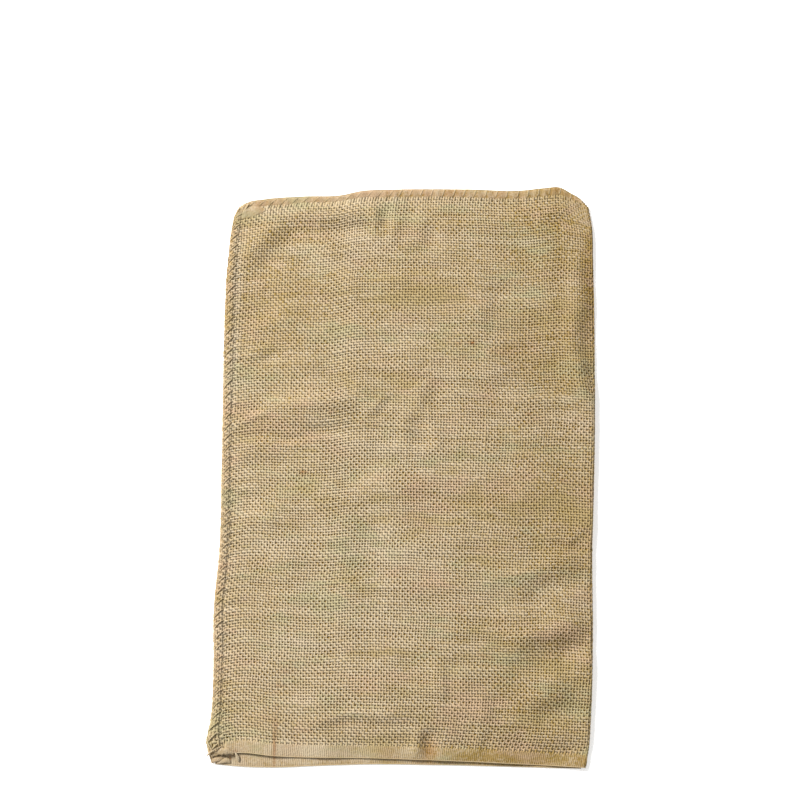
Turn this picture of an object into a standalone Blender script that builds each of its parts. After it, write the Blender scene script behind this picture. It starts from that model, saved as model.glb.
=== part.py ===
"""A plain jute sack, nominal size 40 x 60 cm, lying empty and flat on a surface.

One piece of hessian is folded along the right side, overcast with turned-in edges along the left
side, and overcast selvage to selvage across the closed end.  The other selvages are the mouth.
The sack lies with its width along X, its length along Y and its mouth towards -Y.  The back layer
lies flat at z = 0.  The origin is the centre of the sack's box, at its underside.
"""

from collections import namedtuple

import bmesh
import bpy
import numpy as np

MM = 0.001  # the tables and sizes below are in millimetres; the mesh is in metres

# Driving sizes
LENGTH = 593.5  # from the front layer's mouth to the closed end, along the middle
CLOTH = 1.4  # one layer of hessian
GAP_MIDDLE = 7.4  # how far apart the two layers lie in the middle
GAP_LEAST = 0.8  # how close a crease brings them
CLOSED_SEAM_WIDTH = 8.5  # selvages sewn together across the closed end
CLOSED_SEAM_HEIGHT = 3.4  # two layers and the twine round them
CLOSED_EDGE_HEIGHT = 2.2  # where that seam rounds off at the sack's end
RISE_FROM_SIDE = 26.0  # the layers part over this length beside the side seam
RISE_FROM_END = 30.0  # and over this length below the closed end
FOLD_BLEND = 16.0  # the front layer takes the fold's height over this length
EDGE_ROUNDING = 2.2  # how far the closed edge's shoulder lies inside the outline
INNER_FOLD_RADIUS = 0.2  # what is left inside the fold where it is pressed flat

# How finely the cloth is divided
ACROSS = 30
ALONG = 46
FOLD_STEPS = 6
SEAM_ANGLES = (28.0, 60.0, 98.0, 137.0, 180.0, 225.0, 270.0)  # round the rolled side seam, in degrees

JUTE = (0.466, 0.356, 0.203, 1.0)

Edge = namedtuple("Edge", "at offset")
SideSeam = namedtuple("SideSeam", "y width height")
FoldHeight = namedtuple("FoldHeight", "y height")
Crease = namedtuple("Crease", "x0 y0 x1 y1 half_width height")

# The outline: x along the two long sides, and y along the closed end and the mouth
SIDE_SEAM_EDGE = (
    Edge(at=-302.0, offset=-187.0),
    Edge(at=-287.0, offset=-192.7),
    Edge(at=-262.0, offset=-189.6),
    Edge(at=-205.0, offset=-189.2),
    Edge(at=-155.0, offset=-191.6),
    Edge(at=-95.0, offset=-188.6),
    Edge(at=0.0, offset=-190.4),
    Edge(at=65.0, offset=-192.3),
    Edge(at=120.0, offset=-193.8),
    Edge(at=216.0, offset=-193.6),
    Edge(at=250.0, offset=-191.2),
    Edge(at=266.0, offset=-188.2),
    Edge(at=275.0, offset=-182.8),
)
FOLD_EDGE = (
    Edge(at=-297.5, offset=185.8),
    Edge(at=-282.0, offset=188.6),
    Edge(at=-250.0, offset=191.0),
    Edge(at=-170.0, offset=192.8),
    Edge(at=-80.0, offset=192.2),
    Edge(at=-20.0, offset=193.8),
    Edge(at=180.0, offset=193.8),
    Edge(at=226.0, offset=192.6),
    Edge(at=266.0, offset=190.9),
    Edge(at=283.0, offset=186.8),
)
CLOSED_END = (
    Edge(at=-182.8, offset=275.0),
    Edge(at=-176.0, offset=279.0),
    Edge(at=-160.0, offset=282.6),
    Edge(at=-115.0, offset=287.3),
    Edge(at=-75.0, offset=289.8),
    Edge(at=-55.0, offset=294.8),
    Edge(at=-20.0, offset=297.3),
    Edge(at=60.0, offset=299.5),
    Edge(at=118.0, offset=299.9),
    Edge(at=142.0, offset=303.2),
    Edge(at=157.0, offset=304.2),
    Edge(at=168.0, offset=298.6),
    Edge(at=180.0, offset=291.0),
    Edge(at=186.8, offset=283.0),
)
FRONT_MOUTH = (
    Edge(at=-187.0, offset=-296.0),
    Edge(at=-160.0, offset=-291.6),
    Edge(at=-122.0, offset=-294.0),
    Edge(at=-20.0, offset=-293.9),
    Edge(at=80.0, offset=-294.9),
    Edge(at=185.8, offset=-297.0),
)
BACK_MOUTH = (
    Edge(at=-187.0, offset=-302.0),
    Edge(at=-150.0, offset=-304.2),
    Edge(at=-122.0, offset=-304.1),
    Edge(at=-75.0, offset=-301.2),
    Edge(at=-25.0, offset=-298.7),
    Edge(at=35.0, offset=-297.9),
    Edge(at=185.8, offset=-298.0),
)

# The side seam's rolled edges swell where they end at the mouth
SIDE_SEAM = (
    SideSeam(y=-302.0, width=13.0, height=6.0),
    SideSeam(y=-290.0, width=15.5, height=7.6),
    SideSeam(y=-266.0, width=12.5, height=5.6),
    SideSeam(y=-150.0, width=11.0, height=5.0),
    SideSeam(y=0.0, width=10.5, height=4.8),
    SideSeam(y=130.0, width=11.5, height=5.3),
    SideSeam(y=230.0, width=11.0, height=5.0),
    SideSeam(y=275.0, width=9.0, height=CLOSED_SEAM_HEIGHT),
)

# How high the folded side stands: it is pressed flatter towards the closed end
FOLD_HEIGHTS = (
    FoldHeight(y=-298.0, height=8.6),
    FoldHeight(y=-200.0, height=9.4),
    FoldHeight(y=-130.0, height=8.2),
    FoldHeight(y=-40.0, height=9.8),
    FoldHeight(y=40.0, height=9.2),
    FoldHeight(y=120.0, height=7.4),
    FoldHeight(y=200.0, height=7.0),
    FoldHeight(y=255.0, height=6.0),
    FoldHeight(y=283.0, height=CLOSED_SEAM_HEIGHT),
)

# Soft ridges (height over 0) and troughs (under 0) of the front layer
CREASES = (
    Crease(x0=-157.0, y0=218.0, x1=-120.0, y1=255.0, half_width=10.0, height=-2.6),
    Crease(x0=-120.0, y0=255.0, x1=-34.0, y1=272.0, half_width=9.0, height=-2.2),
    Crease(x0=-150.0, y0=180.0, x1=-60.0, y1=205.0, half_width=17.0, height=1.8),
    Crease(x0=-15.0, y0=285.0, x1=-15.0, y1=238.0, half_width=9.0, height=2.4),
    Crease(x0=14.0, y0=278.0, x1=14.0, y1=256.0, half_width=9.0, height=-1.8),
    Crease(x0=-172.0, y0=100.0, x1=-108.0, y1=138.0, half_width=10.0, height=-1.8),
    Crease(x0=-178.0, y0=54.0, x1=-104.0, y1=86.0, half_width=11.0, height=2.6),
    Crease(x0=-178.0, y0=32.0, x1=-90.0, y1=38.0, half_width=9.0, height=-2.4),
    Crease(x0=-90.0, y0=38.0, x1=-30.0, y1=56.0, half_width=9.0, height=-2.4),
    Crease(x0=-100.0, y0=-24.0, x1=22.0, y1=27.0, half_width=15.0, height=1.9),
    Crease(x0=2.0, y0=36.0, x1=25.0, y1=74.0, half_width=9.0, height=-2.2),
    Crease(x0=82.0, y0=158.0, x1=108.0, y1=100.0, half_width=14.0, height=-1.7),
    Crease(x0=140.0, y0=240.0, x1=184.0, y1=264.0, half_width=11.0, height=-2.2),
    Crease(x0=78.0, y0=-136.0, x1=184.0, y1=-110.0, half_width=9.0, height=-2.6),
    Crease(x0=118.0, y0=-190.0, x1=186.0, y1=-166.0, half_width=11.0, height=-3.0),
    Crease(x0=128.0, y0=-76.0, x1=130.0, y1=-106.0, half_width=10.0, height=-1.3),
    Crease(x0=148.0, y0=-290.0, x1=150.0, y1=-240.0, half_width=13.0, height=-2.2),
    Crease(x0=28.0, y0=-296.0, x1=27.0, y1=-272.0, half_width=9.0, height=-3.0),
    Crease(x0=84.0, y0=-288.0, x1=88.0, y1=-268.0, half_width=9.0, height=-1.8),
    Crease(x0=-160.0, y0=-270.0, x1=-44.0, y1=-269.0, half_width=8.0, height=-1.5),
    Crease(x0=-60.0, y0=-120.0, x1=40.0, y1=-96.0, half_width=30.0, height=1.0),
    Crease(x0=-120.0, y0=-215.0, x1=60.0, y1=-190.0, half_width=30.0, height=0.9),
)


def through(rows, at):
    """The rows' second column at places along their first, on one smooth curve through them."""
    places = np.array([row[0] for row in rows])
    values = np.array([row[1:] for row in rows])
    slopes = np.gradient(values, places, axis=0)
    at = np.clip(at, places[0], places[-1])
    row = np.clip(np.searchsorted(places, at) - 1, 0, len(places) - 2)
    step = places[row + 1] - places[row]
    t = ((at - places[row]) / step)[..., None]
    step = step[..., None]
    found = (
        values[row] * (1 + 2 * t) * (1 - t) ** 2
        + slopes[row] * step * t * (1 - t) ** 2
        + values[row + 1] * t**2 * (3 - 2 * t)
        - slopes[row + 1] * step * t**2 * (1 - t)
    )
    return found[..., 0] if found.shape[-1] == 1 else found


def side(rows, v):
    """Points up a long side, for v from 0 at the mouth to 1 at the closed end."""
    y = rows[0].at + v * (rows[-1].at - rows[0].at)
    return np.stack([through(rows, y), y], axis=-1)


def end(rows, u):
    """Points across an end, for u from 0 at the side seam to 1 at the fold."""
    x = rows[0].at + u * (rows[-1].at - rows[0].at)
    return np.stack([x, through(rows, x)], axis=-1)


def plan(mouth, u, v):
    """Places on a layer seen from above: the blend of its four edges, less that of its corners."""
    low_left, low_right = end(mouth, 0.0), end(mouth, 1.0)
    high_left, high_right = end(CLOSED_END, 0.0), end(CLOSED_END, 1.0)
    share = (1 - v)[..., None]  # how much of the mouth's own corners the long sides take on
    left = side(SIDE_SEAM_EDGE, v) + (low_left - side(SIDE_SEAM_EDGE, 0.0)) * share
    right = side(FOLD_EDGE, v) + (low_right - side(FOLD_EDGE, 0.0)) * share
    low, high = end(mouth, u), end(CLOSED_END, u)
    u, v = u[..., None], v[..., None]
    edges = (1 - v) * low + v * high + (1 - u) * left + u * right
    low_corners = (1 - u) * low_left + u * low_right
    high_corners = (1 - u) * high_left + u * high_right
    return edges - (1 - v) * low_corners - v * high_corners


def creased(x, y):
    """The sum of the creases: each is a bell across its line, with rounded ends."""
    total = np.zeros_like(x)
    for crease in CREASES:
        run = np.array([crease.x1 - crease.x0, crease.y1 - crease.y0])
        along = ((x - crease.x0) * run[0] + (y - crease.y0) * run[1]) / (run @ run)
        along = np.clip(along, 0.0, 1.0)
        apart = np.hypot(x - crease.x0 - along * run[0], y - crease.y0 - along * run[1])
        total += crease.height * np.exp(-((apart / crease.half_width) ** 2))
    return total


def front_height(place, from_side, from_end, from_fold):
    """The height of the front layer's outer face, from its distances to the two seams and the fold."""
    open_side = 1 - np.exp(-np.maximum(from_side, 0.0) / RISE_FROM_SIDE)
    open_end = 1 - np.exp(-np.maximum(from_end, 0.0) / RISE_FROM_END)
    parted = open_side * open_end
    gap = GAP_MIDDLE * parted + creased(place[..., 0], place[..., 1]) * np.sqrt(parted)
    gap = GAP_LEAST + np.logaddexp(0.0, gap - GAP_LEAST)
    height = 2 * CLOTH + gap * open_side
    near_fold = np.exp(-np.maximum(from_fold, 0.0) / FOLD_BLEND)
    height = height + (through(FOLD_HEIGHTS, place[..., 1]) - height) * near_fold
    seam = np.exp(-np.maximum(from_end, 0.0) / CLOSED_SEAM_WIDTH)
    return height + (CLOSED_SEAM_HEIGHT - height) * seam


def stations():
    """v of each row across the sack: evenly up to the closed seam's inner line, then the seam itself."""
    inner_line = 1 - CLOSED_SEAM_WIDTH / LENGTH
    shoulder = 1 - EDGE_ROUNDING / LENGTH
    return np.append(np.linspace(0.0, inner_line, ALONG + 1), [(inner_line + shoulder) / 2, shoulder, 1.0])


def points(place, z):
    """Places on the plan with their heights."""
    return np.concatenate([place, z[..., None]], axis=-1)


def layers(v, row_width, seam_width, radius):
    """The back layer's and the front layer's outer faces, from the side seam's line to the fold."""
    across = seam_width + np.linspace(0.0, 1.0, ACROSS + 1) * (row_width - radius - seam_width)
    u = across / row_width
    v = np.broadcast_to(v, u.shape)
    from_end = (1 - v) * LENGTH - CLOSED_SEAM_WIDTH
    front = plan(FRONT_MOUTH, u, v)
    height = front_height(front, across - seam_width, from_end, row_width - radius - across)
    back = plan(BACK_MOUTH, u, v)
    return points(back, np.zeros_like(u)), points(front, height * rounding(v))


def fold(back, front, radius, inset):
    """The half circle from the back layer's edge round to the front layer's, inset by some cloth."""
    turn = np.radians(np.linspace(-90.0, 90.0, FOLD_STEPS + 1))[1:-1]
    share = (1 + np.sin(turn)) / 2
    found = back[:, -1:] + (front[:, -1:] - back[:, -1:]) * share[:, None]
    found[..., 0] += np.maximum(radius - inset, INNER_FOLD_RADIUS) * np.cos(turn)
    found[..., 2] = inset + (front[:, -1:, 2] - 2 * inset) * share
    return found


def rolled_seam(v, row_width, seam_width, seam_height):
    """The turned-in edges: an oval round its own middle, from the front layer to flat underneath."""
    angle = np.radians(np.array(SEAM_ANGLES))
    u = seam_width / 2 * (1 + np.cos(angle)) / row_width
    v = np.broadcast_to(v, u.shape)
    share = (1 + np.sin(angle)) / 2
    front, back = plan(FRONT_MOUTH, u, v), plan(BACK_MOUTH, u, v)
    return points(back + (front - back) * share[:, None], seam_height * share * rounding(v))


def rounding(v):
    """What is left of the closed seam's height where it rounds off at the sack's end."""
    return np.where(v > 1 - EDGE_ROUNDING / LENGTH, CLOSED_EDGE_HEIGHT / CLOSED_SEAM_HEIGHT, 1.0)


def rings():
    """Each row's points round the sack: outside from the side seam over the back layer, the fold, the
    front layer and the rolled seam; and inside from the seam's line round to itself."""
    v = stations()[:, None]
    left, right = side(SIDE_SEAM_EDGE, v[:, 0]), side(FOLD_EDGE, v[:, 0])
    row_width = np.linalg.norm(right - left, axis=1)[:, None]
    seam = through(SIDE_SEAM, left[:, 1])
    seam_width, seam_height = seam[:, :1], seam[:, 1:]
    radius = through(FOLD_HEIGHTS, right[:, 1])[:, None] / 2
    back, front = layers(v, row_width, seam_width, radius)
    roll = rolled_seam(v, row_width, seam_width, seam_height)
    outer = np.concatenate([back, fold(back, front, radius, 0.0), front[:, ::-1], roll], axis=1)
    thickness = np.array([0.0, 0.0, CLOTH])
    fold_inside = fold(back, front, radius, CLOTH)
    inner = np.concatenate([back + thickness, fold_inside, (front - thickness)[:, :0:-1]], axis=1)
    return outer, inner[: ALONG + 1]


def add_bands(mesh, rings, outwards):
    """Closed bands of faces between neighbouring rings of vertices, facing outwards or inwards."""
    for low, high in zip(rings, rings[1:]):
        for i in range(len(low)):
            j = (i + 1) % len(low)
            corners = [low[i], low[j], high[j], high[i]]
            corners = [c for n, c in enumerate(corners) if c is not corners[n - 1]]
            if len(corners) > 2:
                mesh.faces.new(corners[::-1] if outwards else corners)


def sack_cloth():
    """The sack as one closed body: outer face, inner face, the rim at the mouth and the closed edge."""
    outer, inner = rings()
    middle = (outer.max(axis=(0, 1)) + outer.min(axis=(0, 1))) / 2
    middle[2] = 0.0
    mesh = bmesh.new()
    outside = [[mesh.verts.new((p - middle) * MM) for p in ring] for ring in outer]
    inside = [[mesh.verts.new((p - middle) * MM) for p in ring] for ring in inner[:-1]]

    # on the seam's inner line the two inner faces meet in one row of vertices
    last = [mesh.verts.new((p - middle) * MM) for p in inner[-1][: ACROSS + 1]]
    folded = [last[-1]] * (FOLD_STEPS - 1)
    inside.append(last + folded + last[:0:-1])

    add_bands(mesh, outside, outwards=True)
    add_bands(mesh, inside, outwards=False)

    # the mouth's rim, and a fan over the rolled seam's end from the seam line
    round_layers = 2 * (ACROSS + 1) + FOLD_STEPS - 1
    outer_rim, inner_rim = outside[0], inside[0]
    for i in range(round_layers - 1):
        following = inner_rim[(i + 1) % len(inner_rim)]
        mesh.faces.new([outer_rim[i], outer_rim[i + 1], following, inner_rim[i]])
    roll = outer_rim[round_layers - 1 :] + outer_rim[:1]
    for low, high in zip(roll, roll[1:]):
        mesh.faces.new([low, high, inner_rim[0]])

    # the closed edge: between the two layers, then over the fold's and the roll's ends
    edge = outside[-1]
    front_start = ACROSS + FOLD_STEPS
    for i in range(ACROSS):
        front = front_start + ACROSS - i
        mesh.faces.new([edge[front], edge[front - 1], edge[i + 1], edge[i]])
    mesh.faces.new(edge[front_start : ACROSS - 1 : -1])
    mesh.faces.new(edge[:1] + edge[: front_start + ACROSS - 1 : -1])

    bmesh.ops.triangulate(mesh, faces=mesh.faces[:])
    return mesh


def jute():
    """Undyed hessian: a dry, pale brown cloth."""
    material = bpy.data.materials.new("jute")
    material.use_nodes = True
    shader = material.node_tree.nodes["Principled BSDF"]
    shader.inputs["Base Color"].default_value = JUTE
    shader.inputs["Roughness"].default_value = 0.9
    shader.inputs["Metallic"].default_value = 0.0
    return material


def main():
    for old in list(bpy.data.objects):
        bpy.data.objects.remove(old, do_unlink=True)
    mesh = sack_cloth()
    data = bpy.data.meshes.new("sack_cloth")
    mesh.to_mesh(data)
    mesh.free()
    data.materials.append(jute())
    data.shade_smooth()
    data.set_sharp_from_angle(angle=np.radians(50.0))
    bpy.context.scene.collection.objects.link(bpy.data.objects.new("sack_cloth", data))


main()
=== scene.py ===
import bpy
import numpy as np
from mathutils import Matrix


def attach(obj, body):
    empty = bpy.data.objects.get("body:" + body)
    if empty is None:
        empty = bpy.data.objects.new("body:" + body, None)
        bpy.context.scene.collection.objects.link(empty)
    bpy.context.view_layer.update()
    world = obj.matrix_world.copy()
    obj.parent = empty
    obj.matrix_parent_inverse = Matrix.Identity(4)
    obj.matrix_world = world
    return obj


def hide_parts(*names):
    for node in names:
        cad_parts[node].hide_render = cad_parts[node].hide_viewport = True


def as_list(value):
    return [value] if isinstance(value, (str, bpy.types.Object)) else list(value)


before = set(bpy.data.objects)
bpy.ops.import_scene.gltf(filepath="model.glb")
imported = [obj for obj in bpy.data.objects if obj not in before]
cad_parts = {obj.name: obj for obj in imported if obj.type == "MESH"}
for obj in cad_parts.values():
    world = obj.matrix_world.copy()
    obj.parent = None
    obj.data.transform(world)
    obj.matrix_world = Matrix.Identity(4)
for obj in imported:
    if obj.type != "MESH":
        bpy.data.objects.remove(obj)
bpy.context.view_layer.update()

# Lengths are in millimetres, in the sack's own frame, until a mesh is made
mm = 0.001

# The sack's form, from the same numbers as the solid
sack = {
    "boxMiddle": (0.149, 0.002, 0.0),  # taken off at the end, so the box's middle is at the origin
    "length": 593.5,
    "sideLine": -190.8,  # the side seam's mean place
    "sideWaves": 12.0,  # how fast the side seam's own waves die out across the sack
    "cornerSlant": (304.0, 150.0, 12.0, 42.0),  # the closed end's highest y; its slant's x, blend, reach
    "cloth": 1.4,
    "gapMiddle": 7.4,
    "gapLeast": 0.8,
    "riseFromSide": 80.0,
    "riseFromEnd": 50.0,
    "mouthGap": 0.1,  # share of the gap that is left at the mouth, where the front lies on the back
    "mouthReach": 30.0,
    "sag": 3.0,  # the front falls off towards the fold
    "sagReach": 170.0,
    "foldBlend": 18.0,
    "foldShare": 0.8,  # the fold and the rolled seam are pressed a little flatter than the solid
    "foldPressed": (0.35, -297.5, 22.0),  # and more at the mouth's corner: share, y, reach
    "rollHeight": 0.86,
    "rollAngles": (268.0, 25.0),  # round the roll, from its underside to the valley beside it
    "valleyReach": 8.0,
    "closedSeamWidth": 8.5,
    "closedSeamHeight": 3.4,
    "closedEdgeHeight": 2.2,
    "edgeRounding": 2.2,
    "creaseHeight": 1.55,
    "creaseFade": (20.0, 14.0),  # towards the side seam and the closed end
    "creaseBend": (3.0, 90.0, 80.0),  # how far slow noise moves a crease, and the noise's sizes
}

# x of the two long sides at y, and y of the three ends at x
sideSeamEdge = np.array([
    (-302.0, -187.0), (-287.0, -192.7), (-262.0, -189.6), (-205.0, -189.2), (-155.0, -191.6),
    (-95.0, -188.6), (0.0, -190.4), (65.0, -192.3), (120.0, -193.8), (216.0, -193.6),
    (250.0, -191.2), (266.0, -188.2), (275.0, -182.8),
])
foldEdge = np.array([
    (-297.5, 185.8), (-282.0, 188.6), (-250.0, 191.0), (-170.0, 192.8), (-80.0, 192.2),
    (-20.0, 193.8), (180.0, 193.8), (226.0, 192.6), (266.0, 190.9), (283.0, 186.8),
])
closedEnd = np.array([
    (-182.8, 275.0), (-176.0, 279.0), (-160.0, 282.6), (-115.0, 287.3), (-75.0, 289.8),
    (-55.0, 294.8), (-20.0, 297.3), (60.0, 299.5), (118.0, 299.9), (142.0, 303.2),
    (157.0, 304.2), (168.0, 298.6), (180.0, 291.0), (186.8, 283.0),
])
frontMouth = np.array([
    (-187.0, -296.0), (-160.0, -291.0), (-122.0, -293.2), (-20.0, -293.0), (80.0, -294.2),
    (185.8, -297.0),
])
backMouth = np.array([
    (-187.0, -302.0), (-150.0, -304.2), (-122.0, -304.1), (-75.0, -301.2), (-25.0, -298.7),
    (35.0, -297.9), (185.8, -298.0),
])

# the rolled seam's width and height at y, and the folded side's height at y
sideSeam = np.array([
    (-302.0, 13.0, 6.0), (-290.0, 15.5, 7.6), (-266.0, 12.5, 5.6), (-150.0, 11.0, 5.0),
    (0.0, 10.5, 4.8), (130.0, 11.5, 5.3), (230.0, 11.0, 5.0), (275.0, 9.0, 3.4),
])
foldHeights = np.array([
    (-298.0, 8.6), (-200.0, 9.4), (-130.0, 8.2), (-40.0, 9.8), (40.0, 9.2), (120.0, 7.4),
    (200.0, 7.0), (255.0, 6.0), (283.0, 3.4),
])

# creases of the front layer, each from left to right or upwards: x0, y0, x1, y1, half width,
# ridge height, and step, whose slope shades the line's middle where it is over 0
creases = np.array([
    (-176.2, 199.7, -124.3, 260.0, 16, 0, 3.0), (-140.6, 250.2, -24.0, 268.1, 14, 0, 2.8),
    (-34.1, 253.8, -35.6, 287.9, 7, 0, 2.0), (-139.9, 268.7, -42.3, 280.0, 8, 0.5, 0),
    (-21.4, 231.7, -24.0, 293.7, 8, 0, -1.2), (-6.5, 223.9, -7.4, 264.3, 8, 0, -0.4),
    (14.5, 230.9, 13.6, 272.6, 12, 0, 1.4), (-166.2, 200.8, 65.0, 201.2, 14, 0, -0.9),
    (-179.3, 139.6, -125.6, 169.4, 14, 0, -1.4), (-173.5, 101.5, -131.6, 118.4, 10, 0, 1.5),
    (-189.0, 41.6, -139.3, 51.2, 6, 1.0, 0), (-157.3, 49.2, -49.4, 69.7, 15, 2.1, 0),
    (-113.0, 37.7, -48.7, 44.6, 9, 0, 1.1), (-190.0, 20.3, -100.3, 26.0, 7, 0, -1.1),
    (-104.9, 25.9, 36.6, 26.7, 7, 0, -0.8), (-184.8, 29.2, -92.2, 32.5, 5, 0, 0.5),
    (23.6, 19.2, 20.2, 58.8, 8, 0, -1.3), (1.4, 21.8, 9.4, 52.3, 8, 0, 1.3),
    (22.6, 42.1, 23.6, 93.1, 11, 0, 1.3), (-34.2, 42.8, -22.2, 75.6, 9, 0, 1.1),
    (-180.1, 2.8, -119.8, 12.6, 10, 0, 1.5), (-79.6, -36.0, 26.6, 21.4, 25, 0, -1.6),
    (-177.8, -71.1, -127.5, -55.6, 10, 1.2, 0), (-180.6, -31.8, -148.7, -36.6, 7, 0, 0.8),
    (108.2, 95.2, 64.7, 225.7, 22, 0, 1.0), (84.6, 150.5, 82.4, 201.6, 20, 0, 1.0),
    (111.9, 87.4, 96.8, 139.1, 17, 0, 1.1), (185.9, 68.6, 184.5, 244.0, 15, 0, 4.0),
    (189.6, 72.7, 189.5, 115.4, 10, 0, 3.0), (120.6, -122.5, 188.9, -95.6, 13, 0, 2.5),
    (75.2, -132.6, 140.8, -116.0, 12, 0, 1.5), (164.5, -84.6, 187.9, -57.1, 6, 0, 1.0),
    (99.7, -195.7, 189.0, -161.9, 17, 0, 2.8), (144.9, -183.7, 189.0, -152.9, 17, 0, 2.0),
    (42.3, -234.5, 40.5, -195.2, 10, 0, 1.5), (89.6, -261.6, 92.0, -218.6, 13, 0, 1.6),
    (125.3, -249.6, 179.1, -219.4, 18, 0, 2.9), (125.7, -287.9, 174.3, -275.1, 12, 0, 1.9),
    (-94.7, -262.0, 19.8, -255.6, 8, 0, 1.6), (27.1, -296.1, 25.3, -258.3, 8, 0, 2.6),
    (85.5, -292.7, 85.6, -261.7, 9, 0, 1.2), (-184.1, -210.5, -147.0, -199.7, 7, 0, 0.7),
    (-179.6, -144.8, -152.1, -139.1, 6, 0, 0.7), (135.5, 266.9, 184.2, 282.4, 10, 0, 0.9),
])

# what the cloth does between and beside the stitches
pucker = {
    "sideStart": -291.0,
    "sidePitch": 11.3,
    "sideSlant": 8.6,  # how far a stitch runs down the seam on its way over the roll
    "slantEnd": (0.4, 262.0, 60.0),  # the share of it that is left at the closed end: share, y, reach
    "endStart": -173.0,
    "endPitch": 11.4,
    "dimple": 0.3,
    "sideDimple": (-0.3, 2.0),  # the dimples' distance from the seam, and their reach
    "endDimple": (1.0, 2.2),
    "holeFromSide": 10.4,  # the stitch holes' distances from the outline
    "holeFromEnd": 8.6,
    "holeReach": 1.5,
    "holesTo": (262.0, -165.0),  # y of the side's last hole, and x of the closed end's first
    "overlaid": -15.0,  # x up to which the closed end's stitches lie under its selvage
    "ridge": 0.45,
    "ridgeReach": 13.0,
    "sway": (1.3, 60.0),  # how far slow noise turns the ridges, and its size
    "pinch": 0.16,  # share of the rolled seam's size that a stitch pulls in
    "wrinkle": 0.22,
    "wrinkles": ((30.0, 0.45), (90.0, 1.4)),  # size and stretch of the small ones; size and share
    "wrinkleReach": 12.0,
}


# A bell of height 1: e to the minus square
def bell(off):
    return np.exp(-(off**2))


# A share that falls off from 1, at a distance of 0 or less: e to the minus distance over reach
def fading(distance, reach):
    return np.exp(-np.maximum(distance, 0.0) / reach)


# From one value to another by a share
def blended(start, end, share):
    return start + (end - start) * share


# Peaks of height 1, one at each pitch from start: half a cosine and a half, to a power
def peaks(run, start, pitch, power):
    return (0.5 + 0.5 * np.cos(2 * np.pi * (run - start) / pitch)) ** power


# Vectors at length 1
def unit(vectors):
    return vectors / np.maximum(np.linalg.norm(vectors, axis=-1, keepdims=True), 1e-9)


# The length run along each row of points, from 0 at its start
def runLengths(rows):
    steps = np.linalg.norm(np.diff(rows, axis=1), axis=2)
    return np.concatenate([np.zeros((len(rows), 1)), np.cumsum(steps, axis=1)], axis=1)


# Soft noise of about unit spread: sines running in all directions, wavelengths near size
def softNoise(seed, x, y, size, count=12):
    draw = np.random.default_rng(seed)
    total = np.zeros(np.broadcast(x, y).shape)
    for angle, length, phase in zip(draw.uniform(0, 2 * np.pi, count),
                                    size * draw.uniform(0.6, 1.7, count),
                                    draw.uniform(0, 2 * np.pi, count)):
        total += np.sin(2 * np.pi * (x * np.cos(angle) + y * np.sin(angle)) / length + phase)
    return total * np.sqrt(2 / count)


# One smooth curve through the rows: cubic pieces whose slopes are the rows' mean slopes
def through(rows, at):
    places, values = rows[:, 0], rows[:, 1:]
    slopes = np.gradient(values, places, axis=0)
    at = np.clip(at, places[0], places[-1])
    row = np.clip(np.searchsorted(places, at) - 1, 0, len(places) - 2)
    step = places[row + 1] - places[row]
    t = ((at - places[row]) / step)[..., None]
    step = step[..., None]
    found = (values[row] * (1 + 2 * t) * (1 - t) ** 2 + slopes[row] * step * t * (1 - t) ** 2
             + values[row + 1] * t**2 * (3 - 2 * t) - slopes[row + 1] * step * t**2 * (1 - t))
    return found[..., 0] if found.shape[-1] == 1 else found


# A long side at v: y runs evenly from the mouth (0) to the closed end (1)
def longSide(rows, v):
    y = blended(rows[0, 0], rows[-1, 0], v)
    return np.stack([through(rows, y), y], axis=-1)


# An end at u: x runs evenly from the side seam (0) to the fold (1)
def shortEnd(rows, u):
    x = blended(rows[0, 0], rows[-1, 0], u)
    return np.stack([x, through(rows, x)], axis=-1)


# Plan of a layer: the blend of its four edges, less the blend of its corners. The side seam's own
# waves die out across the sack, and near the mouth within a few stitches. Under the closed end's
# slanting corner the rows are lifted, so that they soon run straight
def plan(mouth, u, v):
    u, v = np.broadcast_arrays(u, v)
    (lowLeft, highLeft), (lowRight, highRight) = (
        [shortEnd(rows, np.array(end)) for rows in (mouth, closedEnd)] for end in (0.0, 1.0))
    start, share = np.array(0.0), (1 - v)[..., None]
    left = longSide(sideSeamEdge, v) + (lowLeft - longSide(sideSeamEdge, start)) * share
    right = longSide(foldEdge, v) + (lowRight - longSide(foldEdge, start)) * share
    low, high = shortEnd(mouth, u), shortEnd(closedEnd, u)
    wave = ((left[..., 0] - sack["sideLine"]) * (1 - u) * (1 - np.exp(-u * sack["sideWaves"]))
            * np.clip(4 - 6 * v, 0.0, 1.0))
    u, v = u[..., None], v[..., None]
    edges = (1 - v) * low + v * high + (1 - u) * left + u * right
    corners = (1 - v) * ((1 - u) * lowLeft + u * lowRight) + v * ((1 - u) * highLeft + u * highRight)
    edges[..., 0] -= wave
    place = edges - corners
    highest, slantStart, blend, reach = sack["cornerSlant"]
    fall = np.maximum(highest - high[..., 1], 0.0) * np.clip((high[..., 0] - slantStart) / blend, 0.0, 1.0)
    moved = place[..., 1] + fall * v[..., 0] * (1 - np.exp((v[..., 0] - 1) * sack["length"] / reach))
    place[..., 0] += (through(foldEdge, moved) - through(foldEdge, place[..., 1])) * u[..., 0] ** 6
    place[..., 1] = moved
    return place


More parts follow.
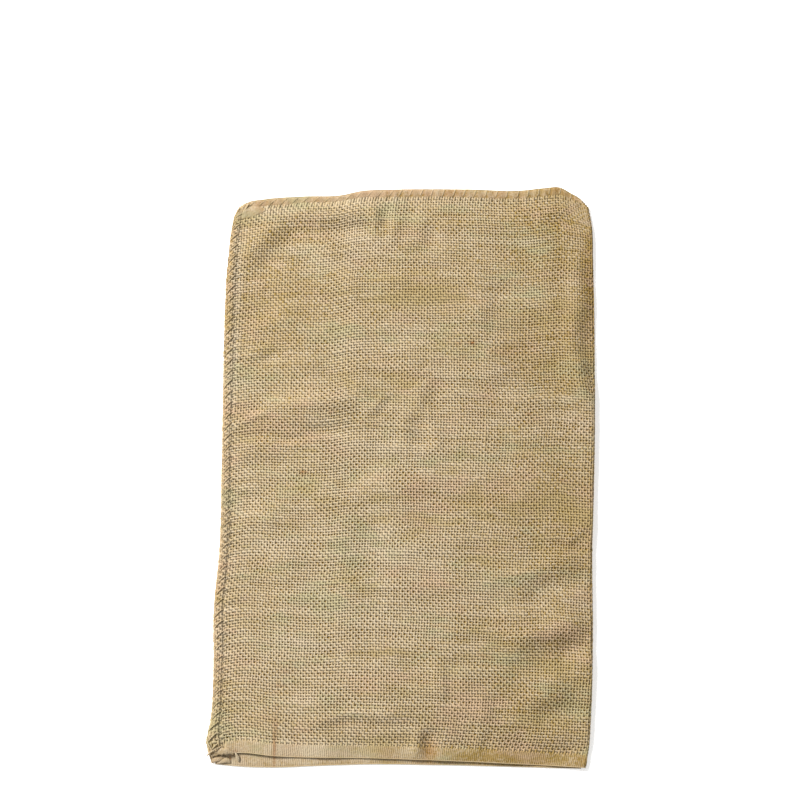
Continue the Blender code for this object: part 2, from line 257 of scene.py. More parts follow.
# Sum of the creases: across its line each is a bell, and a bell's slope for its step; both fade
# out at the line's ends, and slow noise bends the line
def creased(x, y):
    bend, sizeX, sizeY = sack["creaseBend"]
    x, y = x + bend * softNoise(7, x, y, sizeX), y + bend * softNoise(8, x, y, sizeY)
    total = np.zeros_like(x)
    for x0, y0, x1, y1, halfWidth, ridge, step in creases:
        runX, runY = x1 - x0, y1 - y0
        share = np.clip(((x - x0) * runX + (y - y0) * runY) / (runX**2 + runY**2), 0.0, 1.0)
        off = ((y - y0) * runX - (x - x0) * runY) / np.hypot(runX, runY) / halfWidth
        total += (ridge + step * off) * bell(off) * (1 - (2 * share - 1) ** 4) ** 2
    return total


# Puckers: a dimple at each stitch hole, soft ridges between that fade inwards, and faint wrinkles
def puckered(x, y, fromSide, fromEnd):
    dimple, ridge, parted = 0.0, 0.0, 1.0
    sway = pucker["sway"][0] * softNoise(3, x, y, pucker["sway"][1])
    for seam, run, distance in (("side", y, fromSide), ("end", x, fromEnd)):
        start, pitch, (place, reach) = (pucker[seam + key] for key in ("Start", "Pitch", "Dimple"))
        dimple = dimple + peaks(run, start, pitch, 3) * bell((distance - place) / reach)
        wave = np.cos(2 * np.pi * (run - start) / pitch + sway)
        ridge = ridge - wave * fading(distance, pucker["ridgeReach"])
        parted = parted * (1 - fading(distance, pucker["wrinkleReach"]))
    (small, stretch), (large, share) = pucker["wrinkles"]
    wrinkle = softNoise(5, x * stretch, y, small) + share * softNoise(6, x, y, large)
    return pucker["ridge"] * ridge * 0.5 - pucker["dimple"] * dimple + pucker["wrinkle"] * wrinkle * parted


# What is left of the closed seam's height where it rounds off, as a quarter circle, at the end
def rounding(v):
    inside = np.clip((1 - v) * sack["length"] / sack["edgeRounding"], 0.0, 1.0)
    return blended(sack["closedEdgeHeight"] / sack["closedSeamHeight"], 1, np.sqrt(1 - (1 - inside) ** 2))


# The folded side's height at y, less a bell at the mouth's corner
def foldHeight(y):
    pressed, middle, reach = sack["foldPressed"]
    return sack["foldShare"] * through(foldHeights, y) * (1 - pressed * bell((y - middle) / reach))


# Height of the front layer's outer face: the back layer, the gap and the front, each blended in
# by its distances to the two seams and the fold
def frontHeight(place, fromSide, fromEnd, fromFold, valley):
    x, y = place[..., 0], place[..., 1]
    openSide = 1 - fading(fromSide, sack["riseFromSide"])
    fromMouth = sack["length"] - sack["closedSeamWidth"] - fromEnd
    openMouth = 1 - (1 - sack["mouthGap"]) * bell(fromMouth / sack["mouthReach"])
    parted = openSide * (1 - fading(fromEnd, sack["riseFromEnd"]))
    gap = blended(sack["gapLeast"], sack["gapMiddle"] * openMouth, parted)
    height = blended(2 * sack["cloth"] + gap * openSide, valley, fading(fromSide, sack["valleyReach"]))
    nearness = np.clip(1 - fromFold / sack["sagReach"], 0.0, 1.0)
    height = height - sack["sag"] * nearness**1.5 * parted * openMouth
    nearFold = fading(fromFold, sack["foldBlend"])
    height = blended(height, foldHeight(y), nearFold)
    height = blended(height, sack["closedSeamHeight"], fading(fromEnd, sack["closedSeamWidth"]))
    fadeSide, fadeEnd = sack["creaseFade"]
    fade = (1 - fading(fromSide, fadeSide)) * (1 - fading(fromEnd, fadeEnd)) * (1 - 0.5 * nearFold)
    return height + sack["creaseHeight"] * creased(x, y) * np.sqrt(fade) + puckered(x, y, fromSide, fromEnd)


# The side stitches' slant at y, which falls evenly towards the closed end
def slantAt(y):
    least, end, reach = pucker["slantEnd"]
    return pucker["sideSlant"] * blended(least, 1, np.clip((end - y) / reach, 0.0, 1.0))


# Rows across the sack at v, each from under the rolled seam, over it, across the front layer and
# round the fold to the floor: an oval, the front's heights, then a half circle
def rowOutlines(v, rollCount, acrossCount=300, foldCount=26):
    v = v[:, None]
    left, right = longSide(sideSeamEdge, v[:, 0]), longSide(foldEdge, v[:, 0])
    rowWidth = np.linalg.norm(right - left, axis=1)[:, None]
    seam = through(sideSeam, left[:, 1])
    seamWidth, seamHeight = seam[:, :1], seam[:, 1:] * sack["rollHeight"]
    radius = foldHeight(right[:, 1])[:, None] / 2

    angle = np.radians(np.linspace(*sack["rollAngles"], rollCount))[None, :]
    down = slantAt(left[:, 1:]) * (1 - (1 + np.cos(angle)) / 2)  # how far a stitch has run down the seam
    groove = peaks(left[:, 1:] + down, pucker["sideStart"], pucker["sidePitch"], 5)
    u = seamWidth / 2 * (1 + np.cos(angle) * (1 - 0.5 * pucker["pinch"] * groove)) / rowWidth
    share = (1 + np.sin(angle)) / 2
    place = blended(plan(backMouth, u, v), plan(frontMouth, u, v), share[..., None])
    height = seamHeight * share * (1 - pucker["pinch"] * groove) * rounding(v)
    roll = np.concatenate([place, np.broadcast_to(height, place.shape[:2])[..., None]], axis=2)

    across = blended(seamWidth, rowWidth - radius, np.linspace(0.0, 1.0, acrossCount)[None, :])
    u = across / rowWidth
    fromEnd = (1 - v) * sack["length"] - sack["closedSeamWidth"]
    place = plan(frontMouth, u, v)
    valley = seamHeight * share[:, -1:]
    height = frontHeight(place, across - seamWidth, fromEnd, rowWidth - radius - across, valley) * rounding(v)
    front = np.concatenate([place, height[..., None]], axis=2)

    turn = np.radians(np.linspace(90.0, -90.0, foldCount))[None, 1:]
    low = plan(backMouth, u[:, -1:], v)
    low = np.concatenate([low, np.zeros_like(low[..., :1])], axis=2)
    fold = blended(low, front[:, -1:], ((1 + np.sin(turn)) / 2)[..., None])
    fold[..., 0] += radius * np.cos(turn)
    return np.concatenate([roll, front, fold], axis=1)


# Each row again with columns evenly spaced along the roll, and evenly along the rest
def evenly(rows, columns, rollCount, rollShare=0.052):
    run = runLengths(rows)
    total, roll = run[:, -1:].copy(), run[:, rollCount : rollCount + 1].copy()
    beyond = rollShare + (run - roll) / (total - roll) * (1 - rollShare)
    lift = 2.0 * np.arange(len(rows))[:, None]  # keeps the rows apart in one long lookup
    wanted = (np.linspace(0.0, 1.0, columns)[None, :] + lift).ravel()
    known = (np.where(run < roll, run / roll * rollShare, beyond) + lift).ravel()
    found = [np.interp(wanted, known, rows[..., n].ravel()) for n in range(3)]
    return np.stack(found, axis=-1).reshape(len(rows), columns, 3), total[:, 0]


# Unit normals of a grid of points: the cross product of its two gradients
def gridNormals(grid):
    return unit(np.cross(np.gradient(grid, axis=1), np.gradient(grid, axis=0)))


# Values of a grid between its points: the weighted mean of the four corners round each place
def sampled(grid, row, column):
    row = np.clip(row, 0.0, 1.0) * (grid.shape[0] - 1)
    column = np.clip(column, 0.0, 1.0) * (grid.shape[1] - 1)
    low = np.minimum(row.astype(int), grid.shape[0] - 2)
    left = np.minimum(column.astype(int), grid.shape[1] - 2)
    t, s = (row - low)[..., None], (column - left)[..., None]
    return ((grid[low, left] * (1 - s) + grid[low, left + 1] * s) * (1 - t)
            + (grid[low + 1, left] * (1 - s) + grid[low + 1, left + 1] * s) * t)


# A form's points and its unit normals at places on it
def onForm(form, normals, row, column):
    return sampled(form, row, column), unit(sampled(normals, row, column))


formRows, formColumns, rollCount = 500, 640, 44
outlines = rowOutlines(np.linspace(0.0, 1.0, formRows), rollCount)
frontForm, rowLengths = evenly(outlines, formColumns, rollCount)
frontNormals = gridNormals(frontForm)
print("form: rows of", round(rowLengths.mean(), 1), "mm round the front")


# A mesh object from arrays: points in mm, and face corners as one list, with each face's first place
def makePiece(name, points, corners, starts, material, maps, looks):
    points = points.reshape(-1, 3) - np.array(sack["boxMiddle"])
    mesh = bpy.data.meshes.new(name)
    mesh.vertices.add(len(points))
    mesh.vertices.foreach_set("co", (points * mm).astype(np.float32).ravel())
    mesh.loops.add(len(corners))
    mesh.loops.foreach_set("vertex_index", corners.astype(np.int32))
    mesh.polygons.add(len(starts))
    mesh.polygons.foreach_set("loop_start", starts.astype(np.int32))
    for mapName, uv in maps.items():
        mesh.uv_layers.new(name=mapName).data.foreach_set("uv", uv.astype(np.float32).ravel())
    for lookName, values in looks.items():
        look = mesh.attributes.new(lookName, "FLOAT", "POINT")
        look.data.foreach_set("value", values.astype(np.float32).ravel())
    mesh.update(calc_edges=True)
    mesh.shade_smooth()
    mesh.materials.append(material)
    piece = bpy.data.objects.new(name, mesh)
    bpy.context.scene.collection.objects.link(piece)
    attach(piece, "root")
    print(name + ":", len(points), "points,", int(len(corners) - 2 * len(starts)), "triangles")
    return piece


# The directions across and up of each path: its run crossed with its ups, and across with its run
def pathSides(centres, ups):
    run = np.gradient(centres, axis=1)
    across = unit(np.cross(run, ups))
    return across, np.cross(across, unit(run))


# Ups that all point away from the floor
def upwards(centres):
    return np.broadcast_to(np.array([0.0, 0.0, 1.0]), centres.shape)


tubeMaps = {
    "ends": 0.004,  # what a strip of the bake leaves free, as shares of its length and width
    "edges": 0.08,
    "longTube": 60,  # rings, from which on a tube has a whole row of the bake to itself
    "shortTubes": 40.0,  # for each square column of them
    "apart": (31.7, 7.3),  # from one tube to the next, so that no two have the same fibres
}


# The maps of tubes: in the bake each has a strip, its length by its girth, in rows and columns; the
# yarn map is in mm, the length run along the tube by the way round it
def makeTubeMaps(length, girth, sides):
    count, rings = length.shape
    number, turned = np.arange(count)[:, None, None], np.arange(sides + 1)
    columns = 1 if rings >= tubeMaps["longTube"] else int(np.ceil(np.sqrt(count / tubeMaps["shortTubes"])))
    strips = -(-count // columns)
    ends, edges, (apartU, apartV) = tubeMaps["ends"], tubeMaps["edges"], tubeMaps["apart"]
    bakeU = (number // strips + (ends + (1 - 2 * ends) * (length / length[:, -1:])[..., None])) / columns
    bakeV = (number % strips + edges + (1 - 2 * edges) * turned / sides) / strips
    yarnU, yarnV = length[..., None] + apartU * number, girth[..., None] * turned / sides + apartV * number
    maps = {}
    for mapName, grid in (("OFBake", (bakeU, bakeV)), ("yarn", (yarnU, yarnV))):
        grid = np.stack(np.broadcast_arrays(*grid), axis=-1)
        sideUv = np.stack([grid[:, :-1, :-1], grid[:, 1:, :-1], grid[:, 1:, 1:], grid[:, :-1, 1:]], axis=3)
        capUv = np.stack([grid[:, 0, :-1], grid[:, -1, :-1][:, ::-1]], axis=1)
        maps[mapName] = np.concatenate([sideUv.reshape(-1, 2), capUv.reshape(-1, 2)])
    return maps


# Many tubes as one mesh: each ring is an ellipse about its centre, across and up from the tube's
# run, or has its points laid already; halves is its half width and half height. Sides join the
# rings in turn, and flat caps close the ends
def makeTubes(name, centres, ups, halves, sides, material, tone, slubAndShade=0.0, stain=0.0, phase=0.0, laid=None):
    count, rings = centres.shape[:2]
    width, height = (np.broadcast_to(half, (count, rings)) for half in halves)
    if laid is None:
        across, up = pathSides(centres, ups)
        turn = (np.arange(sides) + phase) * 2 * np.pi / sides
        laid = (centres[:, :, None] + across[:, :, None] * (width[..., None] * np.cos(turn))[..., None]
                + up[:, :, None] * (height[..., None] * np.sin(turn))[..., None])
    laid[..., 2] = np.maximum(laid[..., 2], 0.02)

    ring = np.arange(count * rings * sides).reshape(count, rings, sides)
    following = np.roll(ring, -1, axis=2)
    quads = np.stack([ring[:, :-1], ring[:, 1:], following[:, 1:], following[:, :-1]], axis=-1)
    caps = np.stack([ring[:, 0], ring[:, -1, ::-1]], axis=1)
    corners = np.concatenate([quads.reshape(-1), caps.reshape(-1)])
    starts = np.concatenate([np.arange(0, quads.size, 4), quads.size + np.arange(0, caps.size, sides)])
    looks = {key: np.broadcast_to(look[..., None] if np.ndim(look) == 2 else look, (count, rings, sides))
             for key, look in (("tone", tone), ("slubAndShade", slubAndShade), ("stain", stain))}
    maps = makeTubeMaps(runLengths(centres), 2 * np.pi * (width + height) / 2, sides)
    return makePiece(name, laid, corners, starts, material, maps, looks)


# Short calls for making nodes and links in a material or a group
class NodeTree:
    def __init__(self, tree):
        self.tree = tree

    def node(self, kind, **settings):
        made = self.tree.nodes.new(kind)
        for key, value in settings.items():
            setattr(made, key, value)
        return made

    # a link where the value is another node's output, else a constant
    def feed(self, socket, value):
        if isinstance(value, bpy.types.NodeSocket):
            self.tree.links.new(value, socket)
        else:
            socket.default_value = value

    def fed(self, made, *values):
        for socket, value in zip(made.inputs, values):
            self.feed(socket, value)
        return made

    def maths(self, operation, a, b=0.0, c=0.0):
        return self.fed(self.node("ShaderNodeMath", operation=operation), a, b, c).outputs[0]

    def mixed(self, share, a, b, blend="MIX"):
        made = self.node("ShaderNodeMix", data_type="RGBA", blend_type=blend)
        for key, value in (("Factor", share), ("A", a), ("B", b)):
            self.feed(made.inputs[key], value)
        return made.outputs["Result"]

    # from one range to another with soft ends
    def ranged(self, value, low, high, newLow=0.0, newHigh=1.0):
        made = self.node("ShaderNodeMapRange", interpolation_type="SMOOTHSTEP")
        return self.fed(made, value, low, high, newLow, newHigh).outputs[0]

    def noise(self, vector, scale, detail=2.0, roughness=0.5, stretch=None, shift=(0.0, 0.0, 0.0)):
        if stretch:
            mapping = self.node("ShaderNodeMapping")
            mapping.inputs["Scale"].default_value = stretch
            mapping.inputs["Location"].default_value = shift
            self.feed(mapping.inputs["Vector"], vector)
            vector = mapping.outputs[0]
        made = self.node("ShaderNodeTexNoise")
        values = {"Vector": vector, "Scale": scale, "Detail": detail, "Roughness": roughness}
        for key, value in values.items():
            self.feed(made.inputs[key], value)
        return made.outputs["Fac"]

    def split(self, vector):
        return self.fed(self.node("ShaderNodeSeparateXYZ"), vector).outputs

    def joined(self, x, y):
        return self.fed(self.node("ShaderNodeCombineXYZ"), x, y).outputs[0]

    # a point's place in the sack's own frame, in metres
    def place(self):
        return self.node("ShaderNodeTexCoord").outputs["Object"]

    def yarnMap(self):
        return self.node("ShaderNodeUVMap", uv_map="yarn").outputs[0]

    # what the piece itself says at a point: its tone, its slubs with their painted shade, or its stain
    def look(self, name):
        return self.node("ShaderNodeAttribute", attribute_name=name).outputs["Fac"]

    def group(self, group, **values):
        made = self.node("ShaderNodeGroup", node_tree=group)
        for name, value in values.items():
            self.feed(made.inputs[name], value)
        return made.outputs

    # heights from 0 to 1 as a bump of that many mm
    def relief(self, shader, height, strength, distance):
        bump = self.node("ShaderNodeBump")
        bump.inputs["Strength"].default_value = strength
        bump.inputs["Distance"].default_value = distance * mm
        self.feed(bump.inputs["Height"], height)
        self.feed(shader.inputs["Normal"], bump.outputs[0])


# A group's tree, its short calls, and the sockets that it is given and puts out
def newGroup(name, inputs, outputs):
    group = bpy.data.node_groups.new(name, "ShaderNodeTree")
    for inOut, sockets in (("INPUT", inputs), ("OUTPUT", outputs)):
        for socketName, kind, value in sockets:
            socket = group.interface.new_socket(socketName, in_out=inOut, socket_type="NodeSocket" + kind)
            if value is not None:
                socket.default_value = value
    nodes = NodeTree(group)
    return group, nodes, nodes.node("NodeGroupInput").outputs, nodes.node("NodeGroupOutput").inputs


# A material, its short calls and its shader, whose constants are set on its own sockets
def newMaterial(name, constants):
    material = bpy.data.materials.new(name)
    material.use_nodes = True
    shader = material.node_tree.nodes["Principled BSDF"]
    for key, value in constants.items():
        shader.inputs[key].default_value = value
    return material, NodeTree(material.node_tree), shader


juteLook = {
    "pale": (0.52, 0.427, 0.292, 1.0),
    "middle": (0.45, 0.345, 0.20, 1.0),
    "dark": (0.315, 0.212, 0.065, 1.0),
    "warm": (0.487, 0.349, 0.226, 1.0),
    "greyGreen": (0.402, 0.361, 0.211, 1.0),
    "ash": (0.53, 0.435, 0.305, 1.0),
    "ochre": (0.385, 0.292, 0.132, 1.0),
    "slubAndShade": (0.27, 0.118, 0.036, 1.0),
    "stain": (0.74, 0.52, 0.37, 1.0),
    "patchStretch": (0.62, 1.5, 1.0),  # patches run along the warp
    "patchDetail": 5.0,
    "patches": (  # size in mm, the noise's roughness and shift, the most of a tint, and the tints' ranges
        (95.0, 0.8, (0.0, 0.0, 0.0), 0.78, (("warm", 0.51, 0.65), ("greyGreen", 0.49, 0.35))),
        (110.0, 0.78, (3.1, 7.7, 1.9), 0.75, (("ash", 0.51, 0.68), ("ochre", 0.49, 0.33))),
    ),
}


# Jute's colour: dark to pale by tone, tinted in soft warm and grey-green patches and in paler and
# browner ones, with slubs and stains over it; the slub colour also serves for painted shade
def makeJuteColour():
    group, n, given, put = newGroup(
        "jute colour",
        [("Place", "Vector", None), ("Tone", "Float", 0.5), ("Slub", "Float", 0.0), ("Stain", "Float", 0.0)],
        [("Color", "Color", None)])
    colour = n.mixed(n.ranged(given["Tone"], 0.0, 0.5), juteLook["dark"], juteLook["middle"])
    colour = n.mixed(n.ranged(given["Tone"], 0.45, 1.0), colour, juteLook["pale"])
    for size, roughness, shift, most, tints in juteLook["patches"]:
        patch = n.noise(given["Place"], 1000.0 / size, juteLook["patchDetail"], roughness,
                        juteLook["patchStretch"], shift)
        for tint, start, end in tints:
            colour = n.mixed(n.ranged(patch, start, end, 0.0, most), colour, juteLook[tint])
    colour = n.mixed(given["Slub"], colour, juteLook["slubAndShade"])
    n.feed(put["Color"], n.mixed(given["Stain"], colour, juteLook["stain"], "MULTIPLY"))
    return group


fibreLook = {
    "fine": (2.0, 0.6, (0.35, 4.2, 1.0)),  # the noise's detail, roughness, and scale along and across
    "broad": (1.0, 0.5, (0.16, 1.1, 1.0)),
    "fineShare": 0.6,
    "relief": 0.12,  # mm
}


# Fibres along a yarn: noise drawn out along the yarn and turned a little by its twist
def makeFibres():
    group, n, given, put = newGroup(
        "jute fibres",
        [("Yarn", "Vector", None), ("Twist", "Float", 0.6)],
        [("Streak", "Float", None), ("Height", "Float", None)])
    yarn = n.split(given["Yarn"])
    turned = n.joined(yarn["X"], n.maths("MULTIPLY_ADD", yarn["X"], given["Twist"], yarn["Y"]))
    fine, broad = (n.noise(turned, 1.0, *fibreLook[key]) for key in ("fine", "broad"))
    share = fibreLook["fineShare"]
    n.feed(put["Streak"], n.maths("MULTIPLY_ADD", fine, share, n.maths("MULTIPLY", broad, 1 - share)))
    n.feed(put["Height"], fine)
    return group


juteColour, fibres = makeJuteColour(), makeFibres()


# Jute's colour at a piece's own place, slubs with their painted shade, and stains, by a tone
def feedJute(n, shader, tone):
    colour = n.group(juteColour, Place=n.place(), Tone=tone, Slub=n.look("slubAndShade"), Stain=n.look("stain"))
    n.feed(shader.inputs["Base Color"], colour["Color"])


# A tone with streaks: the streaks' distance from their middle, times a share, over it
def streaked(n, streak, share, tone):
    return n.maths("MULTIPLY_ADD", n.maths("SUBTRACT", streak, 0.5), share, tone)


# A yarn material: the group's colour by the piece's own tone, with fibres as streaks and relief
def makeYarnMaterial(name, twist, streakShare, relief, roughness):
    material, n, shader = newMaterial(name, {"Specular IOR Level": 0.0})
    fibre = n.group(fibres, Yarn=n.yarnMap(), Twist=twist)
    feedJute(n, shader, streaked(n, fibre["Streak"], streakShare, n.look("tone")))
    rough = n.ranged(fibre["Streak"], 0.2, 0.8, roughness + 0.06, roughness - 0.08)
    n.feed(shader.inputs["Roughness"], rough)
    n.relief(shader, fibre["Height"], relief, fibreLook["relief"])
    return material


yarnMaterial = makeYarnMaterial("jute yarn", twist=0.6, streakShare=0.75, relief=0.8, roughness=0.86)
twineMaterial = makeYarnMaterial("jute twine", twist=0.9, streakShare=0.8, relief=0.9, roughness=0.82)

weave = {
    "weftCount": 140,
    "pitch": 2.84,  # warp yarns in the open cloth
    "band": (1.8, 9.0),  # warp yarns under the selvage at the mouth, in mm from its edge
    "bandGap": 5.0,  # the row of open holes over the band
    "endBand": (6.5, 2.0),
    "endGap": 4.4,
    "depth": 0.72,  # the middle of the cloth below its outer face
    "swing": (0.34, 0.24),  # how far a warp and a weft yarn rise over the one that they cross
    "dip": 0.12,  # and how far they dip between, as a share of it
    "bow": 0.215,  # how far its twist bends it aside between crossings, so every second hole is wide
    "bowSpread": (0.75, 34.0),  # the bow's slow change over the cloth: share, mm
    "reach": 0.54,  # where it bends, in crossings from the one it lies over
    "halfWidth": (0.915, 0.85),  # warp, weft
    "halfHeight": 0.4,
    "crownWidth": 0.1,  # how much wider it is where it lies over another, as a share
    "widest": 1.9,
    "tubeShare": (1.4, 1.3),  # a four-sided tube is as wide and high as a round yarn at these shares
    "bandWidth": 1.85,  # half width of a weft yarn spread flat in a selvage
    "bandHeight": 0.2,
    "bandLift": (-0.16, 0.14),  # of warp and weft in a selvage
    "widthSpread": (0.065, 0.035),
    "widthChange": (0.06, 45.0, 12.0),  # slow and quick changes along a yarn: share, and sizes in mm
    "thickest": (0.7, 1.45),
    "slubs": 1.1,  # thick places to a yarn
    "slubReach": (2.5, 9.0),  # crossings
    "slubShare": (0.1, 0.34),
    "patches": (0.05, 30.0),  # of thicker and thinner yarns: share, mm
    "closing": 0.4,  # how much thicker the yarns are in a close spot
    "tone": (0.74, 0.47),  # the weft is a little darker, so the crossings alternate
    "toneSpread": (0.068, 0.032),
    "toneSize": 60.0,
    "toneChange": (0.08, 10.0),
    "calmTone": 0.66,  # both sets' tone in a calm spot
    "calmPacked": 0.3,
    "packedEven": 0.6,  # how much less the tone changes where the yarns are packed
    "holePinch": 0.12,  # how much thinner and darker the yarns are at a stitch hole
    # the darker tone at a stitch hole is painted shade
    "holeShade": 0.2,
    "rollClose": (1.6, 0.28, 0.8),  # on the roll they lie close: start, less for each yarn, the most
    "rollStain": 0.25,
    # crownTone: crowns paler and dips darker, as painted highlight and painted shade on the weave
    "crownTone": 0.06,
    "drift": (0.35, 1.5, 95.0, 80.0),  # of whole rows, mm; its share in columns; sizes
    "flutter": (0.08, 28.0),
    "wander": (0.09, 0.8, 40.0),  # of each yarn on its own: mm, the share that changes along it, size
    "stillEnds": (20.0, 10.0),  # rows and columns keep their places near the cloth's edges
    "ringSpread": 0.1,  # uneven spinning, from ring to ring
}


# Places of the warp yarns along v: two under each selvage, evenly spaced between
def warpPlaces():
    band, end = np.array(weave["band"]), sack["length"] - np.array(weave["endBand"])
    first, last = band[-1] + weave["bandGap"], end[0] - weave["endGap"]
    count = 2 * int(round((last - first) / weave["pitch"] / 2)) + 2
    places = np.concatenate([band, np.linspace(first, last, count), end]) / sack["length"]
    dense = np.concatenate([np.ones(len(band)), np.zeros(count), np.ones(len(end))])
    return places, dense


# Each crossing's place on a form: even spacing, moved by a slow drift and by each yarn's own wander
def crossings(form, normals, places, packedRows, weftCount, width, length, seed):
    v, p = np.meshgrid(places, (np.arange(weftCount) + 0.5) / weftCount, indexing="ij")
    packed = np.broadcast_to(packedRows[:, None], v.shape)
    x, y = p * width, v * length
    draw = np.random.default_rng(seed)
    row, column = np.arange(v.shape[0])[:, None], np.arange(v.shape[1])[None, :]
    drift, columnShare, *driftSizes = weave["drift"]
    (flutter, flutterSize), (wander, change, wanderSize) = weave["flutter"], weave["wander"]

    def moves(share, offset, driftSize, drawn, alongX, alongY):
        return (share * softNoise(seed + offset, x, y, driftSize)
                + flutter * softNoise(seed + offset + 1, x, y, flutterSize)
                + wander * (drawn + change * softNoise(seed + offset + 2, alongX, alongY, wanderSize)))

    moveY = moves(drift, 1, driftSizes[0], draw.normal(size=(v.shape[0], 1)), x, row * 37.0)
    moveX = moves(columnShare * drift, 4, driftSizes[1], draw.normal(size=(1, v.shape[1])), column * 37.0, y)
    stillY, stillX = weave["stillEnds"]
    moveY *= np.clip(np.minimum(y, length - y) / stillY, 0.0, 1.0) * (1 - packed)
    moveX *= np.clip(np.minimum(x, width - x) / stillX, 0.0, 1.0)
    v, p = v + moveY / length, p + moveX / width
    return *onForm(form, normals, v, p), packed


# The random draws of a set of yarns, the run along each in mm, and the yarns' places in the noise
def yarnDraws(seed, count, length):
    run = np.arange(length)[None, :] * weave["pitch"]
    return np.random.default_rng(seed), run, np.arange(count)[:, None] * 53.0


# A yarn's thickness: e to its own share and to changes along it, with a few thick slubs
def yarnThickness(seed, count, length, spread):
    draw, run, number = yarnDraws(seed, count, length)
    own = draw.normal(size=(count, 1)) * spread
    share, slow, quick = weave["widthChange"]
    change = share * softNoise(seed + 1, run, number, slow) + share * softNoise(seed + 2, run, number, quick)
    slubAndShade = np.zeros((count, length))
    for _ in range(int(count * weave["slubs"])):
        row, middle, reach = draw.integers(count), draw.uniform(0, length), draw.uniform(*weave["slubReach"])
        slubAndShade[row] += draw.uniform(*weave["slubShare"]) * bell((np.arange(length) - middle) / reach)
    return np.clip(np.exp(own + change) + slubAndShade, *weave["thickest"])


# What a yarn's tone has over its set's: its own shade plus slow and quick changes along it
def yarnTone(seed, count, length, spread):
    draw, run, number = yarnDraws(seed, count, length)
    share, size = weave["toneChange"]
    return (spread * (draw.normal(size=(count, 1)) + softNoise(seed + 1, run, number, weave["toneSize"]))
            + share * softNoise(seed + 2, run, number, size))


# marks on the cloth: x, y, half length, half height, strength, in mm
marks = {
    "close": [
        (-125, 175, 85, 120, 0.3), (-172, -60, 22, 200, 0.22), (-182, -20, 6, 290, 0.95),
        (-90, 279, 80, 7, 0.8), (90, 291, 110, 6, 0.5), (-150, 274, 30, 13, 1), (-177, 245, 12, 40, 0.6),
        (6, 284, 5, 18, 0.8), (-18, -62, 7, 8, 0.8), (-60, -250, 60, 20, 0.12), (60, 190, 60, 18, 0.15),
        (-30, -8, 45, 9, 0.2),
    ],
    "open": [
        (6, -12, 12, 26, 0.55), (-66, -22, 8, 12, 0.6), (-50, 4, 14, 16, 0.3), (140, -180, 40, 22, 0.35),
        (120, -265, 50, 20, 0.35), (-150, 20, 24, 10, 0.4), (-20, 268, 14, 12, 0.3),
        (60, 270, 18, 14, 0.35), (150, 120, 30, 40, 0.25), (-90, 262, 40, 9, 0.35), (-60, 52, 40, 10, 0.3),
        (150, -90, 30, 16, 0.35), (-80, -100, 50, 10, 0.2), (-100, -180, 50, 8, 0.2), (60, 60, 50, 12, 0.2),
    ],
    "calm": [
        (-150, 225, 60, 65, 0.25), (-60, -262, 70, 9, 0.25), (-155, 271, 34, 13, 0.9),
        (-60, 283, 90, 6, 0.8), (-177, 245, 10, 40, 0.6),
    ],
    # painted shade: darker tone where the cloth turns away from the light, along the fold, at creases and
    # near the mouth
    "paintedShade": [
        (-140, 200, 80, 115, 0.22), (30, 262, 200, 30, 0.12), (175, 20, 65, 320, 0.24),
        (150, 255, 70, 60, 0.34), (191, 215, 15, 75, 0.6), (192, -60, 11, 220, 0.3),
        (145, -240, 80, 60, 0.19), (27, -281, 8, 9, 0.45), (86, -281, 9, 7, 0.2), (115, -289, 85, 11, 0.6),
        (-60, -262, 60, 5, 0.12),
    ],
    # paler tone; the two along the side seam's foot are painted light on the shade in the valley beside the
    # roll
    "pale": [
        (-152, 274, 30, 12, 0.34), (110, 291, 90, 6, 0.24), (6, 284, 5, 18, 0.12), (-60, 282, 130, 6, 0.06),
        (-80, -288, 80, 9, 0.45), (-110, 286, 90, 9, 0.3), (-20, -90, 110, 180, 0.2),
        (-183, 140, 4.5, 110, 0.6), (-182.5, -130, 4, 130, 0.25),
    ],
    # dark slubs and a rust line; the four at the side seam's end and the long one at the fold's edge are
    # painted shade
    "slubAndShade": [
        (-124.6, -286, 1.4, 18, 0.32), (-124.6, -270, 1.6, 22, 0.3), (-185.2, -293.6, 1.8, 1.6, 0.8),
        (-165.6, -292, 1, 2.4, 0.9), (-168.6, -296.5, 1.4, 2.4, 0.9), (-162.9, -291.6, 1.6, 2.6, 0.8),
        (124.9, 57.7, 3.2, 1.5, 0.7), (160.9, -11.2, 4.5, 1.5, 0.55), (-79.1, 54.8, 2.4, 1.5, 0.6),
        (-24.6, 229.5, 2.6, 1.5, 0.6), (-32, -90.5, 2.5, 1.5, 0.55), (29.8, -184.2, 2.5, 1.5, 0.5),
        (-15.9, 165, 4, 1.4, 0.35), (-116.3, -211, 7, 1.5, 0.35), (-45.7, 44.1, 2.2, 1.4, 0.5),
        (79.6, -190.6, 3, 1.4, 0.4), (66, 130.4, 3.4, 2.3, 1), (52, 130, 2.2, 1.5, 0.6),
        (-105.2, -8.8, 3.6, 2.3, 1), (57, 118, 4, 1.6, 0.35), (-107, -11.8, 2.4, 2, 0.6),
        (-122, -224, 4, 1.6, 0.6), (97, 122, 14, 4, 0.35), (193, 165, 9, 95, 0.22),
        (-60, 108, 5, 1.5, 0.35),
    ],
    # stains and rust; the one at the side seam's end browns the hollow between its folds
    "stain": [
        (-124.6, -282, 1.6, 26, 0.6), (31, -286, 8, 12, 0.6), (-181, -298, 5, 3.5, 0.4),
        (120, 130, 30, 30, 0.12), (-150, 278, 26, 7, 0.16), (160, 292, 18, 8, 0.16), (20, 292, 60, 6, 0.1),
    ],
}


# Marks at places: the strongest of the bells round the listed middles
def marked(kind, points):
    found = np.zeros(points.shape[:-1])
    for x, y, reachX, reachY, strength in marks[kind]:
        off = ((points[..., 0] - x) / reachX) ** 2 + ((points[..., 1] - y) / reachY) ** 2
        found = np.maximum(found, strength * np.exp(-off))
    return found


